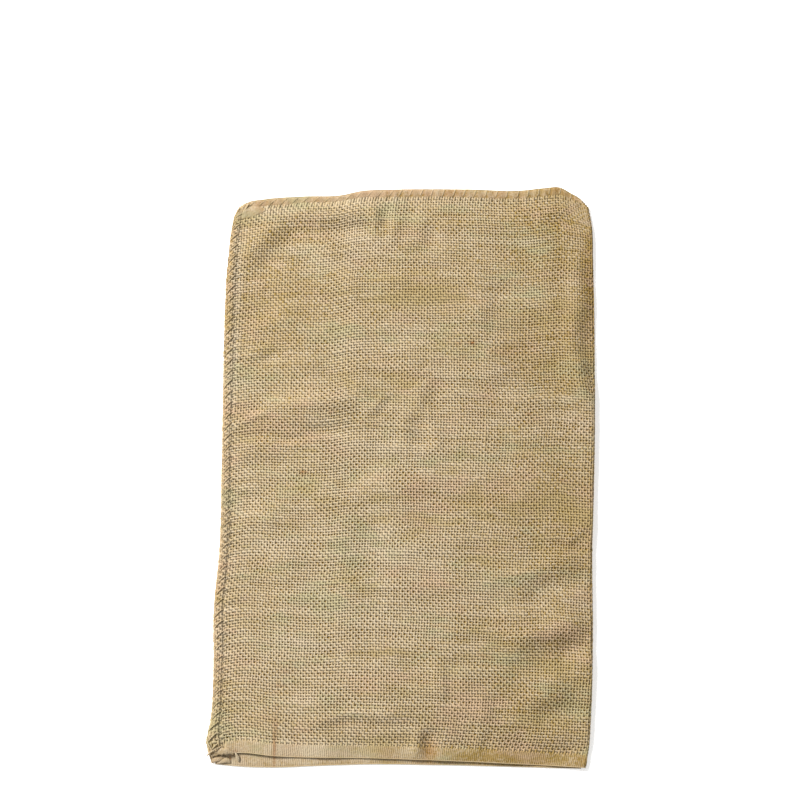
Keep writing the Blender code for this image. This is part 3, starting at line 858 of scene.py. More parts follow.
# The stitch holes of both seams: a bell at each hole
def stitchHoles(points):
    x, y, reach, (last, first) = points[..., 0], points[..., 1], pucker["holeReach"], pucker["holesTo"]
    side = peaks(y, pucker["sideStart"], pucker["sidePitch"], 3) * (y < last)
    end = peaks(x, pucker["endStart"], pucker["endPitch"], 3) * (x > first)
    return np.maximum(side * bell((x - through(sideSeamEdge, y) - pucker["holeFromSide"]) / reach),
                      end * bell((through(closedEnd, x) - y - pucker["holeFromEnd"]) / reach))


# What marks add to a tone: the pale ones, two of them painted light, less the painted shade ones
# and a share of painted shade at the stitch holes
def shades(points, holeShare):
    return marked("pale", points) - marked("paintedShade", points) - holeShare * stitchHoles(points)


# Both sets of yarns at the crossings: half widths, tones and marks, as the grids of makeYarnSet
def yarnGrids(points, normals, packed, seed, onRoll=0.0):
    closed = marked("close", points) - marked("open", points) + onRoll
    share, size = weave["patches"]
    patches = share * softNoise(seed + 70, points[..., 0] * 0.6, points[..., 1] * 1.3, size)
    patches = patches + weave["closing"] * closed
    # the slub marks, painted shade among them, go to both sets
    slubs, stains = marked("slubAndShade", points), np.maximum(marked("stain", points), weave["rollStain"] * onRoll)
    holes, shade, calm = stitchHoles(points), shades(points, weave["holeShade"]), marked("calm", points)
    packed = np.maximum(packed, weave["calmPacked"] * calm)
    loose, plain = 1 - packed, 1 - weave["packedEven"] * packed
    sets = []
    for n, (count, length) in enumerate((packed.shape, packed.shape[::-1])):
        thick = yarnThickness(seed + 31 + 10 * n, count, length, weave["widthSpread"][n])
        tone = yarnTone(seed + 51 + 10 * n, count, length, weave["toneSpread"][n])
        thick, tone = (thick.T, tone.T) if n else (thick, tone)
        tone = weave["tone"][n] * (1 - calm) + weave["calmTone"] * calm + tone * plain + shade
        half = weave["halfWidth"][n] * (thick + patches) * (1 - weave["holePinch"] * holes) * loose
        half += packed * (weave["bandWidth"] if n else weave["halfWidth"][0])
        grids = (points, normals, half, tone, slubs * (0.5 if n else 1.0), stains, packed)
        sets.append([grid.swapaxes(0, 1) for grid in grids] if n else grids)
    return sets


# Where a set's yarns get their rings, in crossings along them: on each crossing that they lie
# over and a little over half way to the next on both sides of it; a yarn is unseen where it dips
def ringPlaces(count, yarns, first):
    rings = []
    for parity in (0, 1):
        over = np.arange(parity, count, 2)
        found = [((count - 1.0) * (1 - parity), 0.0, 0.0)]
        for step, top, side in ((0.0, 1.0, 0.0), (weave["reach"], 0.0, 1.0), (-weave["reach"], 0.0, -1.0)):
            found += [(at, top, side) for at in over + step]
        rings.append(sorted(ring for ring in found if 0.0 <= ring[0] <= count - 1))
    return np.array([rings[(n + first) % 2] for n in range(yarns)])


# A grid's values at fractional places along its second axis
def along(grid, at):
    low = np.clip(at.astype(int), 0, grid.shape[1] - 2)
    row = np.arange(grid.shape[0])[:, None]
    t = (at - low)[..., None] if grid.ndim > 2 else at - low
    return grid[row, low] * (1 - t) + grid[row, low + 1] * t


# One set's yarns as tubes: each rises over every second crossing and bows to one side after it
# and to the other before it; in the selvages it lies nearly flat
def makeYarnSet(name, pieces, seed, first, *grids):
    rings = ringPlaces(grids[0].shape[1], grids[0].shape[0], first)
    at, top, side = rings[..., 0], rings[..., 1], rings[..., 2]
    uneven = np.random.default_rng(seed).normal(size=(3,) + at.shape) * weave["ringSpread"]
    centres, normal, width, tone, slubAndShade, stain, packed = (along(grid, at) for grid in grids)
    normal, loose = unit(normal), 1 - packed
    width = np.minimum(width * (1 + (weave["crownWidth"] * top + uneven[0]) * loose), weave["widest"])
    rise = weave["swing"][first] * blended(-weave["dip"], 1, top) * loose
    rise = rise + packed * (weave["bandLift"][first] + 0.05 * top)
    centres = centres + normal * (rise - weave["depth"])[..., None]
    share, size = weave["bowSpread"]
    bend = np.clip(1 + share * softNoise(90, centres[..., 0], centres[..., 1], size), 0.0, 1.9)
    shift = (weave["bow"] * bend * side + uneven[1]) * loose
    centres = centres + pathSides(centres, normal)[0] * shift[..., None]
    height = weave["halfHeight"] * np.sqrt(width / weave["halfWidth"][first])
    height = blended(height, weave["bandHeight"], packed)
    # painted highlight on the crowns, painted shade in the dips
    shade = tone + weave["crownTone"] * (top - 0.4) * loose - 0.04 * packed + uneven[2]
    wide, high = weave["tubeShare"]
    for number, part in enumerate(np.array_split(np.arange(len(centres)), pieces)):
        yield makeTubes(name + (f"_{number + 1}" if pieces > 1 else ""), centres[part], normal[part],
                        (wide * width[part], high * height[part]), 4, yarnMaterial,
                        shade[part], slubAndShade[part], stain[part], phase=0.5)


# The warp and the weft of a cloth
def makeYarns(prefix, pieces, seed, *gridsFrom):
    return [piece for n, (kind, grids) in enumerate(zip(("warp", "weft"), yarnGrids(*gridsFrom)))
            for piece in makeYarnSet(prefix + kind + "_yarns", pieces, seed + n, n, *grids)]


frontCloth = crossings(frontForm, frontNormals, *warpPlaces(), weave["weftCount"], 400.0, sack["length"], 11)
print("weave:", *frontCloth[2].shape, "yarns each way")
start, less, most = weave["rollClose"]
onRoll = np.clip(start - less * np.arange(weave["weftCount"]), 0.0, most)[None, :]
yarnPieces = makeYarns("", 2, 81, *frontCloth, 0, onRoll)

# The back layer's selvage, which shows past the front one: flat on the floor, its face up
mouthStrip = {
    "reach": 24.0,  # mm into the sack
    "ends": (0.012, 0.988),  # across it
    "width": 372.0,
    "openRows": 4,
    "weftCount": 132,
}


# A thin grid in the plan of the back layer's mouth, with the same weave on it
def makeMouthStrip():
    reach, band = mouthStrip["reach"], np.array(weave["band"])
    flat = plan(backMouth, np.linspace(*mouthStrip["ends"], 260)[None, :],
                np.linspace(0.0, reach / sack["length"], 24)[:, None])
    form = np.concatenate([flat, np.full(flat.shape[:2] + (1,), sack["cloth"])], axis=2)
    loose = band[-1] + weave["bandGap"] + weave["pitch"] * np.arange(mouthStrip["openRows"])
    packedRows = np.concatenate([np.ones(len(band)), np.zeros(len(loose))])
    cloth = crossings(form, gridNormals(form), np.concatenate([band, loose]) / reach, packedRows,
                      mouthStrip["weftCount"], mouthStrip["width"], reach, 111)
    return form, makeYarns("back_", 1, 83, *cloth, 100)


backForm, backPieces = makeMouthStrip()
yarnPieces += backPieces

# The outermost warp yarn along an edge of a form, which the weft turns round
edgeStrand = {
    "halfWidth": 0.52,
    "halfHeight": 0.5,
    "tone": 0.55,
    "rows": {  # form, its row, and from where to where across it
        "front_mouth_edge": (frontForm, 0.0, 0.06, 0.99),
        "back_mouth_edge": (backForm, 0.0, 0.0, 1.0),
        "closed_end_edge": (frontForm, 1.0, 0.03, 0.98),
    },
}
edgePlaces = np.linspace(0.0, 1.0, 420)


# One strand just under an edge, a little uneven in width and tone
def makeEdge(name, form, row, low, high, seed):
    draw = np.random.default_rng(seed)
    half = edgeStrand["halfHeight"]
    centres = sampled(form, row, blended(low, high, edgePlaces))[None] - np.array([0.0, 0.0, half])
    run = np.arange(centres.shape[1])[None, :]
    tone = edgeStrand["tone"] + 0.06 * draw.normal(size=run.shape) + 0.04 * softNoise(seed + 1, run, 0.0, 9.0)
    width = edgeStrand["halfWidth"] * (1 + 0.05 * draw.normal(size=run.shape))
    return makeTubes(name, centres, upwards(centres), (width, half), 6, yarnMaterial, tone,
                     stain=marked("stain", centres))


yarnPieces += [makeEdge(name, *row, 91 + n) for n, (name, row) in enumerate(edgeStrand["rows"].items())]

# The selvages of both layers at the mouth, the closed end's, and the small fold at its corner: flat
# bands, whose weft is packed so close that no hole shows
selvage = {
    "rib": 1.9,  # mm
    "mouthHalf": 6.3,
    "closedHalf": 4.6,
    "closedNarrow": (0.55, 0.92),  # the share that it loses at its end, and from where on
    "cornerHalf": 8.8,
    "cornerIn": 13.4,
    "cornerUnder": 0.22,
    "halfHeight": 0.42,
    "under": 0.5,
    "relief": 0.3,
    "wobble": (160.0, 0.7),  # of the ribs: the noise's scale and share
    "specks": (420.0, 1.2),  # scale, and share in the relief
    "streaks": 1.1,
    # ribTone: each rib paler in its middle and darker at its edges, as painted shade between the ribs
    "ribTone": 0.12,
    "tone": 0.47,
    "toneNoise": (0.03, 0.04, 16.0),  # quick and slow changes along the band, and the slow one's size
    "stainNoise": (0.08, 30.0),
    # painted shade at the stitch holes, and beside the closed end's stitches on its band
    "holeShade": 0.6,
    "stitchShade": 0.5,  # the dark ends of the closed end's stitches
    "stain": 0.08,
    "closedTone": 0.56,
    "closedStain": 0.35,
    "cornerTone": 0.66,
    "cornerStain": 0.12,
}


# A selvage's ribs along its own map: each is a parabola across a rib, roughened by its fibres; the
# ribs' tone falls off to their edges as painted shade between them
def makeSelvageMaterial(name, ribShare, speckShare):
    material, n, shader = newMaterial(name, {"Roughness": 0.88, "Specular IOR Level": 0.0})
    place, yarn = n.place(), n.split(n.yarnMap())
    wobble = n.maths("MULTIPLY", n.noise(place, selvage["wobble"][0]), selvage["wobble"][1])
    number = n.maths("MULTIPLY_ADD", yarn["X"], 1 / selvage["rib"], wobble)
    off = n.maths("SUBTRACT", n.maths("FRACT", number), 0.5)
    rib = n.maths("MULTIPLY_ADD", n.maths("MULTIPLY", off, off), -4.0, 1.0)
    fibre = n.group(fibres, Yarn=n.joined(yarn["Y"], yarn["X"]), Twist=0.25)
    speck = n.noise(place, selvage["specks"][0], 2.0, 0.6)
    tone = streaked(n, fibre["Streak"], selvage["streaks"], n.look("tone"))
    # painted shade between the ribs
    tone = n.maths("MULTIPLY_ADD", rib, selvage["ribTone"] * ribShare, tone)
    feedJute(n, shader, streaked(n, speck, speckShare, tone))
    rough = n.maths("MULTIPLY", rib, ribShare)
    rough = n.maths("MULTIPLY_ADD", speck, selvage["specks"][1] * speckShare, rough)
    n.relief(shader, n.maths("MULTIPLY_ADD", fibre["Height"], 0.5, rough), 0.8, selvage["relief"])
    return material


selvageMaterial = makeSelvageMaterial("jute selvage", ribShare=1.3, speckShare=1.9)
closedMaterial = makeSelvageMaterial("jute closed end", ribShare=0.3, speckShare=2.2)


# A flat band that follows a form: an ellipse across a row of it, laid on the form's own curve, a
# little under the yarns' crowns; middle and half are in mm along the form, whose rows run over length
def makeSelvage(seed, name, form, length, middle, low, high, half, under, tone, stain, material, sides=16):
    draw = np.random.default_rng(seed)
    p = blended(low, high, edgePlaces[None])
    turn = np.arange(sides) * 2 * np.pi / sides
    row = (middle - half[None, :, None] * np.cos(turn)) / length
    laid, normals = onForm(form, gridNormals(form), row, np.broadcast_to(p[..., None], row.shape))
    laid = laid + normals * (selvage["halfHeight"] * np.sin(turn) - under)[:, None]
    centres, run = sampled(form, middle / length, p), 390.0 * p
    (quick, slow, size), (spread, stainSize) = selvage["toneNoise"], selvage["stainNoise"]
    tone = tone + quick * draw.normal(size=p.shape) + slow * softNoise(seed + 1, run, 0.0, size)
    if material is closedMaterial:
        x = centres[..., 0]
        stitched = peaks(x, pucker["endStart"] + 2.0, pucker["endPitch"], 20) * (x > pucker["overlaid"])
        # painted shade beside each stitch, on the closed end's band
        tone = tone - selvage["stitchShade"] * stitched
    tone = tone[..., None] + shades(laid, selvage["holeShade"])
    stain = stain + spread * softNoise(seed + 2, run, 0.0, stainSize)[..., None] + marked("stain", laid)
    return makeTubes(name, centres, None, (half[None], selvage["halfHeight"]), sides, material,
                     tone, marked("slubAndShade", laid), np.clip(stain, 0.0, 1.0), laid=laid)


# The four bands: form, its length, middle, from, to, half widths, how far under, tone, stain, material
def makeSelvages():
    length, mouth, closed = sack["length"], selvage["mouthHalf"], selvage["closedHalf"]
    mouthHalf = np.full_like(edgePlaces, mouth)
    narrow, start = selvage["closedNarrow"]
    closedHalf = closed * (1 - narrow * np.clip((edgePlaces - start) / (1 - start), 0.0, 1.0))
    oval = np.sqrt(np.sin(np.pi * (0.04 + 0.92 * edgePlaces)))
    cornerHalf = selvage["cornerHalf"] * (1 - 0.45 * edgePlaces) * oval
    mouthLook = (selvage["under"], selvage["tone"], selvage["stain"], selvageMaterial)
    closedLook = (selvage["under"], selvage["closedTone"], selvage["closedStain"], closedMaterial)
    cornerLook = (selvage["cornerUnder"], selvage["cornerTone"], selvage["cornerStain"], closedMaterial)
    fold = length - selvage["cornerIn"]
    bands = [
        ("front_selvage", frontForm, length, mouth, 0.062, 0.99, mouthHalf, *mouthLook),
        ("back_selvage", backForm, mouthStrip["reach"], mouth, 0.0, 1.0, mouthHalf, *mouthLook),
        ("closed_selvage", frontForm, length, length - closed, 0.035, 0.98, closedHalf, *closedLook),
        ("corner_fold", frontForm, length, fold, 0.022, 0.112, cornerHalf, *cornerLook),
    ]
    return [makeSelvage(94 + n, *band) for n, band in enumerate(bands)]


yarnPieces += makeSelvages()

# The overcast twine of both seams: two plies that turn round each other
stitching = {
    "plyRadius": 0.44,
    "plyApart": 0.38,
    "twist": 4.4,  # mm for one turn
    "sideHole": 9.6,  # mm from the side's outline
    "endHole": 7.6,  # mm from the closed end's outline
    "uneven": 0.5,  # how far a stitch is from its place
    "sideTo": 266.0,  # y of the side's end, and x of the closed end's
    "endTo": 182.0,
    "endSlant": ((-180.0, -40.0, -10.0, 190.0), (4.6, 4.2, 0.6, 0.2)),  # of a stitch at x
    "lift": 0.34,
    "tone": 0.62,
}


# Two plies for each path: centres beside the path, turned with the length run so far
def makeTwine(name, centres, ups, seed, shade=0.0):
    across, up = pathSides(centres, ups)
    turn = 2 * np.pi * runLengths(centres)[..., None] / stitching["twist"]
    aside = stitching["plyApart"] * (across * np.cos(turn) + up * np.sin(turn))
    plies = np.concatenate([centres + aside, centres - aside])
    shade = np.tile(shade + np.zeros(centres.shape[:2]), (2, 1))
    tone = stitching["tone"] + 0.08 * np.random.default_rng(seed).normal(size=(len(plies), 1)) + shade
    radii = (stitching["plyRadius"], stitching["plyRadius"])
    return makeTubes(name, plies, np.concatenate([ups, ups]), radii, 6, twineMaterial, tone)


# Where, across a row of the form, the top side is at a distance from the outline
def columnAt(row, across):
    x = frontForm[row, :, 0]
    onTop = np.arange(formColumns)[None, :] > x.argmin(axis=1)[:, None]
    return (onTop & (x - x.min(axis=1, keepdims=True) > across)).argmax(axis=1) / (formColumns - 1)


# The stitches' places along a seam, each a little off its even one
def stitchPlaces(draw, start, end, pitch):
    places = np.arange(start, end, pitch)
    return places + draw.uniform(-stitching["uneven"], stitching["uneven"], len(places))


# Side stitches: up out of a hole, slanting over the roll to its outline, and under it
def makeSideStitches():
    draw = np.random.default_rng(101)
    y = stitchPlaces(draw, pucker["sideStart"], stitching["sideTo"], pucker["sidePitch"])
    share = np.linspace(0.0, 1.0, 26)[None, :]
    slant = (slantAt(y) + draw.uniform(-0.8, 0.8, len(y)))[:, None]
    low, high = sideSeamEdge[0, 0], sideSeamEdge[-1, 0]
    v = (y[:, None] - slant * np.clip(share / 0.68, 0.0, 1.0) - low) / (high - low)
    hole = columnAt(np.clip(v[:, 0] * (formRows - 1), 0, formRows - 1).astype(int), stitching["sideHole"])
    column = hole[:, None] * (1 - share) + 0.004 * share
    lift = stitching["lift"] - 1.5 * np.exp(-share / 0.05) - 0.75 * np.clip((share - 0.35) / 0.3, 0.0, 1.0)
    points, ups = onForm(frontForm, frontNormals, v, column)
    return makeTwine("side_seam_twine", points + ups * lift[..., None], ups, 102)


# Closed end's stitches: from a hole up to the edge, then in an arc round it, down to the floor
def makeEndStitches():
    draw = np.random.default_rng(103)
    x = stitchPlaces(draw, pucker["endStart"], stitching["endTo"], pucker["endPitch"])
    slant = np.interp(x, *stitching["endSlant"]) + draw.uniform(-0.5, 0.5, len(x))
    share = np.linspace(0.0, 1.0, 16)[None, :]
    row = frontForm[int(0.992 * (formRows - 1))]
    top = slice(row[:, 0].argmin(), row[:, 0].argmax())
    places = np.arange(formColumns)[top] / (formColumns - 1)
    column = np.interp(x[:, None] + slant[:, None] * share, row[top, 0], places)
    v = np.broadcast_to(1 - stitching["endHole"] / sack["length"] * (1 - share), column.shape)
    points, ups = onForm(frontForm, frontNormals, v, column)
    early = (x[:, None] < pucker["overlaid"]) * 1.0  # there only their dark ends show beside the holes
    lift = -0.12 - 1.2 * np.exp(-share / 0.08) - 0.3 * share - 0.3 * early * share
    over = points + ups * lift[..., None]
    edge, up = over[:, -1:], np.array([0.0, 0.0, 1.0])
    out = np.cross(sampled(frontForm, v, column + 0.002) - sampled(frontForm, v, column - 0.002), up)
    out = -unit(out * (1.0, 1.0, 0.0))[:, -1:]
    turn = np.linspace(0.0, 2.3, 9)[None, 1:, None]
    down = edge + out * np.sin(turn) * 0.5 - up * (1 - np.cos(turn)) * (edge[..., 2:] / 2)
    downUps = unit(out * np.sin(turn) + up * np.cos(turn))
    # painted shade: the twine of the early stitches darkens towards its hole
    shade = np.concatenate([-0.5 * early * np.exp(-share / 0.3), np.zeros(down.shape[:2])], axis=1)
    return makeTwine("closed_end_twine", np.concatenate([over, down], axis=1),
                     np.concatenate([ups, downUps], axis=1), 104, shade)


yarnPieces += [makeSideStitches(), makeEndStitches()]

# What the side seam's end shows at the mouth: tone, stain, and rows of x, y, z, half width and half
# height; and the last stitches, rows of x, y, z
seamEnd = {
    "seam_end_fold_1": (0.56, 0.14, [(-187.0, -295.0, 3.4, 1.4, 0.6), (-180.0, -290.6, 5.4, 3.1, 0.9),
                                     (-172.0, -289.6, 5.0, 3.2, 0.9), (-164.6, -292.0, 3.6, 1.2, 0.5)]),
    "seam_end_fold_2": (0.64, 0.26, [(-187.0, -301.0, 1.2, 1.4, 0.8), (-183.4, -298.2, 2.4, 3.0, 1.0),
                                     (-178.2, -296.6, 2.8, 2.6, 0.9), (-173.4, -296.6, 2.0, 0.8, 0.6)]),
    "seam_end_fold_3": (0.52, 0.08, [(-181.0, -301.6, 1.4, 1.2, 0.6), (-176.4, -299.4, 2.3, 2.5, 0.8),
                                     (-171.6, -298.6, 2.2, 2.4, 0.8), (-168.0, -301.0, 1.4, 0.9, 0.5)]),
    "thread_tail": (0.85, 0.0, [(-163.6, -290.0, 4.0, 0.5, 0.35), (-162.0, -293.4, 3.4, 1.3, 0.5),
                                (-160.6, -296.8, 2.7, 1.7, 0.5), (-159.6, -299.6, 1.9, 0.6, 0.3)]),
}
seamEndTwine = [
    [(-192.0, -277.0, 4.4), (-190.1, -283.0, 6.6), (-186.4, -288.4, 7.0), (-181.4, -291.6, 5.6)],
    [(-191.4, -294.4, 3.2), (-188.0, -291.4, 6.0), (-183.4, -288.2, 7.4), (-177.6, -285.2, 5.4)],
]


# Each fold is a flat strand through its rows, and the last stitches cross over the seam's end
def makeSeamEnd():
    at = np.linspace(0.0, 3.0, 30)

    def curve(rows):
        return through(np.column_stack([np.arange(4), rows]), at)

    for number, (name, (tone, stain, rows)) in enumerate(seamEnd.items()):
        found = curve(rows)[None]
        noise = 0.07 * softNoise(120 + number, at[None] * 10.0, 0.0, 9.0)
        centres, halves = found[..., :3], (found[..., 3] * (1 + noise), found[..., 4])
        yield makeTubes(name, centres, upwards(centres), halves, 16, closedMaterial, tone + noise,
                        stain=stain)
    curves = np.stack([curve(rows) for rows in seamEndTwine])
    yield makeTwine("seam_end_twine", curves, upwards(curves), 130)


yarnPieces += list(makeSeamEnd())

# The sheet that the yarns lie on
clothShell = {
    "rows": (8, 88, 6),  # in the mouth's selvage, in the open cloth, and in the closed end's
    "ends": (0.0015, 0.9985),
    "bands": (0.0195, 0.984),  # where the selvages end, as shares of the length
    "columns": 130,
    "backColumns": 62,
    "backYarns": 131.0,
    "rowYarns": 210.0,
    "underYarns": 1.08,  # how far the sheet's face lies below the yarns' crowns
    "underBand": 0.8,
    "thickness": 0.28,
    "floor": 0.05,
    "hiddenRows": 11,  # of the inside, under the back layer's own yarns
    "flat": (0.80, 0.61),
    # painted shade: the sack's dark inside, as seen through the holes
    "holeShadeColour": (0.27, 0.165, 0.03, 1.0),  # what the holes show
    "wobble": (120.0, (0.35, 0.35, 0.0)),  # of the weave: the noise's scale and share
    "streaks": 1.3,
    "holeShade": 0.8,
    "relief": 0.9,
}


# The plain weave as relief: along u and v in yarns, each yarn is a rounded rib that rises over
# every second one that it crosses; a hole is where both ribs are low
def makePlainWeave():
    group, n, given, put = newGroup(
        "plain weave", [("Yarns", "Vector", None)],
        [("Height", "Float", None), ("Hole", "Float", None), ("Warp", "Float", None)])
    yarn, ribs, lifted = n.split(given["Yarns"]), [], []
    for across, run, sign in (("Y", "X", None), ("X", "Y", -1.0)):
        number = n.maths("FLOOR", yarn[across])
        off = n.maths("SUBTRACT", n.maths("FRACT", yarn[across]), 0.5)
        rib = n.maths("SUBTRACT", 1.0, n.maths("MULTIPLY", n.maths("MULTIPLY", off, off), 7.0))
        turn = n.maths("MULTIPLY", n.maths("ADD", n.maths("SUBTRACT", yarn[run], 0.5), number), np.pi)
        wave = n.maths("COSINE", turn)
        wave = n.maths("MULTIPLY", wave, sign) if sign else wave
        ribs.append(rib)
        lifted.append(n.maths("ADD", n.maths("MULTIPLY", rib, 0.5), n.maths("MULTIPLY_ADD", wave, 0.32, 0.5)))
    n.feed(put["Height"], n.maths("MAXIMUM", *lifted))
    n.feed(put["Hole"], n.ranged(n.maths("MAXIMUM", *ribs), 0.32, 0.02))
    n.feed(put["Warp"], n.maths("GREATER_THAN", *lifted))
    return group


plainWeave = makePlainWeave()


# The sheet's material: the weave's relief with streaks along the yarn that is on top, paler where
# it is high and darker where it is low as painted shade; its holes, and what lies hidden behind
# the front layer's yarns, are dark as painted shade of the sack's inside
def makeClothMaterial():
    material, n, shader = newMaterial("jute cloth", {"Roughness": 0.9, "Specular IOR Level": 0.2})
    place = n.place()
    shifted, (scale, share) = n.node("ShaderNodeVectorMath", operation="MULTIPLY_ADD"), clothShell["wobble"]
    shifted = n.fed(shifted, n.noise(place, scale), share, n.yarnMap()).outputs[0]
    woven = n.group(plainWeave, Yarns=shifted)
    pick = n.node("ShaderNodeMix", data_type="FLOAT")
    n.feed(pick.inputs["Factor"], woven["Warp"])
    for key, stretch in (("A", (1.4, 0.09, 1.0)), ("B", (0.09, 1.4, 1.0))):
        n.feed(pick.inputs[key], n.noise(shifted, 1.0, 2.0, 0.6, stretch))
    # paler where the weave is high, darker where it is low: painted shade
    tone = n.maths("MULTIPLY_ADD", woven["Height"], 0.3, 0.3)
    tone = streaked(n, pick.outputs["Result"], clothShell["streaks"], tone)
    colour = n.group(juteColour, Place=place, Tone=tone, Slub=0.0, Stain=0.0)["Color"]
    hidden = n.look("hidden")
    dark = n.maths("MAXIMUM", n.maths("MULTIPLY", woven["Hole"], clothShell["holeShade"]), hidden)
    n.feed(shader.inputs["Base Color"], n.mixed(dark, colour, clothShell["holeShadeColour"]))
    height = n.maths("MULTIPLY", woven["Height"], n.maths("SUBTRACT", 1.0, hidden))
    n.relief(shader, height, 1.0, clothShell["relief"])
    return material


# The sheet's two skins, each a closed ring at every row: round the outside below the yarns and
# along the back layer's underside, and the same again inside, a sheet's thickness in
def makeSkins():
    (start, end), (low, high), (few, many, last) = clothShell["ends"], clothShell["bands"], clothShell["rows"]
    v = np.concatenate([np.linspace(start, low, few), np.linspace(low + 0.004, high - 0.004, many),
                        np.linspace(high, end, last)])
    depth = np.where((v > low) & (v < high), clothShell["underYarns"], clothShell["underBand"])[:, None, None]
    across = np.linspace(0.0, 1.0, clothShell["columns"])
    front, normal = onForm(frontForm, frontNormals, *np.meshgrid(v, across, indexing="ij"))
    share = np.linspace(0.0, 1.0, clothShell["backColumns"] + 2)[None, 1:-1, None]
    left, right = longSide(sideSeamEdge, v)[:, :1], longSide(foldEdge, v)[:, :1]

    def skin(inner):
        top, floor = front - normal * (depth + inner), clothShell["floor"] + inner
        top = np.concatenate([top[..., :2], np.maximum(top[..., 2:], floor)], axis=2)
        back = blended(top[:, -1:], top[:, :1], share)
        u = np.clip((back[..., 0] - left) / (right - left), 0.0, 1.0)
        back = plan(backMouth, u, np.broadcast_to(v[:, None], u.shape))
        return np.concatenate([top, np.concatenate([back, np.full(u.shape + (1,), floor)], axis=2)], axis=1)

    return skin(0.0), skin(clothShell["thickness"]), v


# Faces of the two skins, the inner turned the other way round, and of the rims that join them
def sheetFaces(rows, around):
    number = np.arange(rows * around).reshape(rows, around)
    following, count = np.roll(number, -1, axis=1), rows * around
    outer = np.stack([number[:-1], following[:-1], following[1:], number[1:]], axis=-1)
    inner = outer[..., [0, 3, 2, 1]] + count
    rim = np.stack([number[0], number[0] + count, following[0] + count, following[0]], axis=-1)
    endRim = np.stack([number[-1], following[-1], following[-1] + count, number[-1] + count], axis=-1)
    return np.concatenate([outer.reshape(-1, 4), inner.reshape(-1, 4), rim, endRim])


# The map of a ring grid's faces, whose last column meets the first again
def ringUv(grid, flipped=False):
    a, b, c, d = grid[:-1, :-1], grid[:-1, 1:], grid[1:, 1:], grid[1:, :-1]
    return np.stack([a, d, c, b] if flipped else [a, b, c, d], axis=2).reshape(-1, 2)


# The sheet's maps: in yarns round and along the sack, and the bake's, with the outer skin over the
# inner one and the two rims as strips at the top
def makeSheetMaps(v):
    over = np.linspace(0, weave["weftCount"], clothShell["columns"])
    under = weave["weftCount"] + np.linspace(0, clothShell["backYarns"], clothShell["backColumns"] + 2)[1:]
    grid = np.stack(np.meshgrid(np.concatenate([over, under]), clothShell["rowYarns"] * v), axis=-1)
    whole = grid / grid.max(axis=(0, 1)) * (0.98, 0.47)
    rim = np.stack([grid[0, :-1], grid[0, :-1], grid[0, 1:], grid[0, 1:]], axis=1)
    run, strips = rim[..., 0] / grid[..., 0].max() * 0.98 + 0.01, []
    for heights in ((0.995, 0.999, 0.999, 0.995), (0.992, 0.992, 0.988, 0.988)):
        strips.append(np.stack([run, np.broadcast_to(heights, run.shape)], axis=-1).reshape(-1, 2))
    outer, inner = ringUv(whole + (0.01, 0.51)), ringUv(whole + (0.01, 0.015), True)
    rim = rim.reshape(-1, 2)
    return {"OFBake": np.concatenate([outer, inner, *strips]),
            "yarn": np.concatenate([ringUv(grid), ringUv(grid, True), rim, rim])}


# The cloth as one closed piece. Its material is dark behind the front's yarns, and inside under
# the back layer's own: painted shade of the sack's inside
def makeSheet():
    outer, inner, v = makeSkins()
    columns = clothShell["columns"]
    hidden = np.zeros((2,) + outer.shape[:2])
    hidden[0, :, :columns] = 1.0
    hidden[1, : clothShell["hiddenRows"], columns:] = 1.0
    quads = sheetFaces(*outer.shape[:2])
    return makePiece("sack_sheet", np.stack([outer, inner]), quads.reshape(-1), np.arange(len(quads)) * 4,
                     makeClothMaterial(), makeSheetMaps(v), {"hidden": hidden})


cloth = makeSheet()
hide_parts("sack_cloth")

# Camera, light and floor, in metres but for the camera's place
studio = {
    "cameraPlace": (-8.0, -192.0, 1487.1),
    "tilt": 10.0,
    "roll": 1.4,
    "lens": 65.25,
    "floorSize": 3.0,
    "floorColour": (0.97, 0.97, 0.965, 1.0),
    "floorGlow": 0.45,  # a lit table, on which the sack's shadow is faint
    "white": (1.0, 1.0, 1.0, 1.0),
    "worldStrength": 0.4,
    "lampColour": (1.0, 0.985, 0.96),
    "lamps": {  # place, size, power
        "key": ((-3.9, 3.5, 3.3), 2.0, 694.0),
        "side": ((-0.95, -0.15, 0.65), 0.5, 0.8),
    },
}


# A camera or lamp at a place, with its own x, y and z directions
def setUp(name, data, directions, place):
    made = bpy.data.objects.new(name, data)
    rows = np.column_stack([*directions, place]).tolist()
    made.matrix_world = Matrix(rows + [[0.0, 0.0, 0.0, 1.0]])
    bpy.context.scene.collection.objects.link(made)
    return made


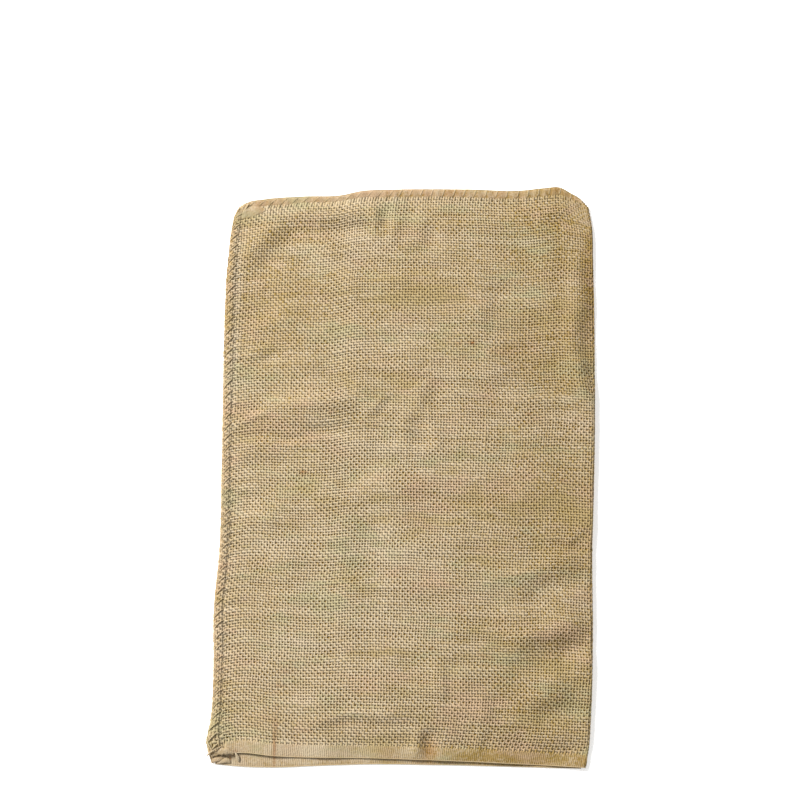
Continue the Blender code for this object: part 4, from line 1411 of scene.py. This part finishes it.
# The camera looks down, tilted towards the closed end and rolled about its own line of sight
def makeCamera():
    tilt, roll = np.radians(studio["tilt"]), np.radians(studio["roll"])
    right, up = np.array([1.0, 0.0, 0.0]), np.array([0.0, np.cos(tilt), np.sin(tilt)])
    back = np.array([0.0, -np.sin(tilt), np.cos(tilt)])
    x, y = right * np.cos(roll) + up * np.sin(roll), up * np.cos(roll) - right * np.sin(roll)
    lens = bpy.data.cameras.new("camera")
    lens.sensor_width = 36.0
    lens.lens = studio["lens"]
    lens.clip_start = 0.01
    place = (np.array(studio["cameraPlace"]) - np.array(sack["boxMiddle"])) * mm
    bpy.context.scene.camera = setUp("camera", lens, (x, y, back), place)


# Round lamps that face the sack's middle, in a pale world
def makeLight():
    for name, (place, size, power) in studio["lamps"].items():
        lamp = bpy.data.lights.new(name, "AREA")
        lamp.shape = "DISK"
        lamp.size = size
        lamp.energy = power
        lamp.color = studio["lampColour"]
        back = unit(np.array(place))
        side = unit(np.cross([0.0, 0.0, 1.0], back))
        setUp(name, lamp, (side, np.cross(back, side), back), place)
    world = bpy.data.worlds.new("studio")
    world.use_nodes = True
    background = world.node_tree.nodes["Background"]
    background.inputs["Color"].default_value = studio["white"]
    background.inputs["Strength"].default_value = studio["worldStrength"]
    bpy.context.scene.world = world
    bpy.context.scene.view_settings.view_transform = "Standard"


# One square, centred under the sack
def makeFloor():
    size, pale = studio["floorSize"], studio["floorColour"]
    mesh = bpy.data.meshes.new("floor")
    square = [(-size, -size, 0), (size, -size, 0), (size, size, 0), (-size, size, 0)]
    mesh.from_pydata(square, [], [(0, 1, 2, 3)])
    material, n, shader = newMaterial("floor", {
        "Roughness": 0.85, "Emission Color": studio["white"], "Emission Strength": studio["floorGlow"]})
    grain = n.noise(n.place(), 6.0, 3.0)
    n.feed(shader.inputs["Base Color"], n.mixed(grain, pale, tuple(c * 0.985 for c in pale[:3]) + (1.0,)))
    mesh.materials.append(material)
    floor = bpy.data.objects.new("floor", mesh)
    bpy.context.scene.collection.objects.link(floor)


makeCamera()
makeLight()
makeFloor()

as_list(yarnPieces)
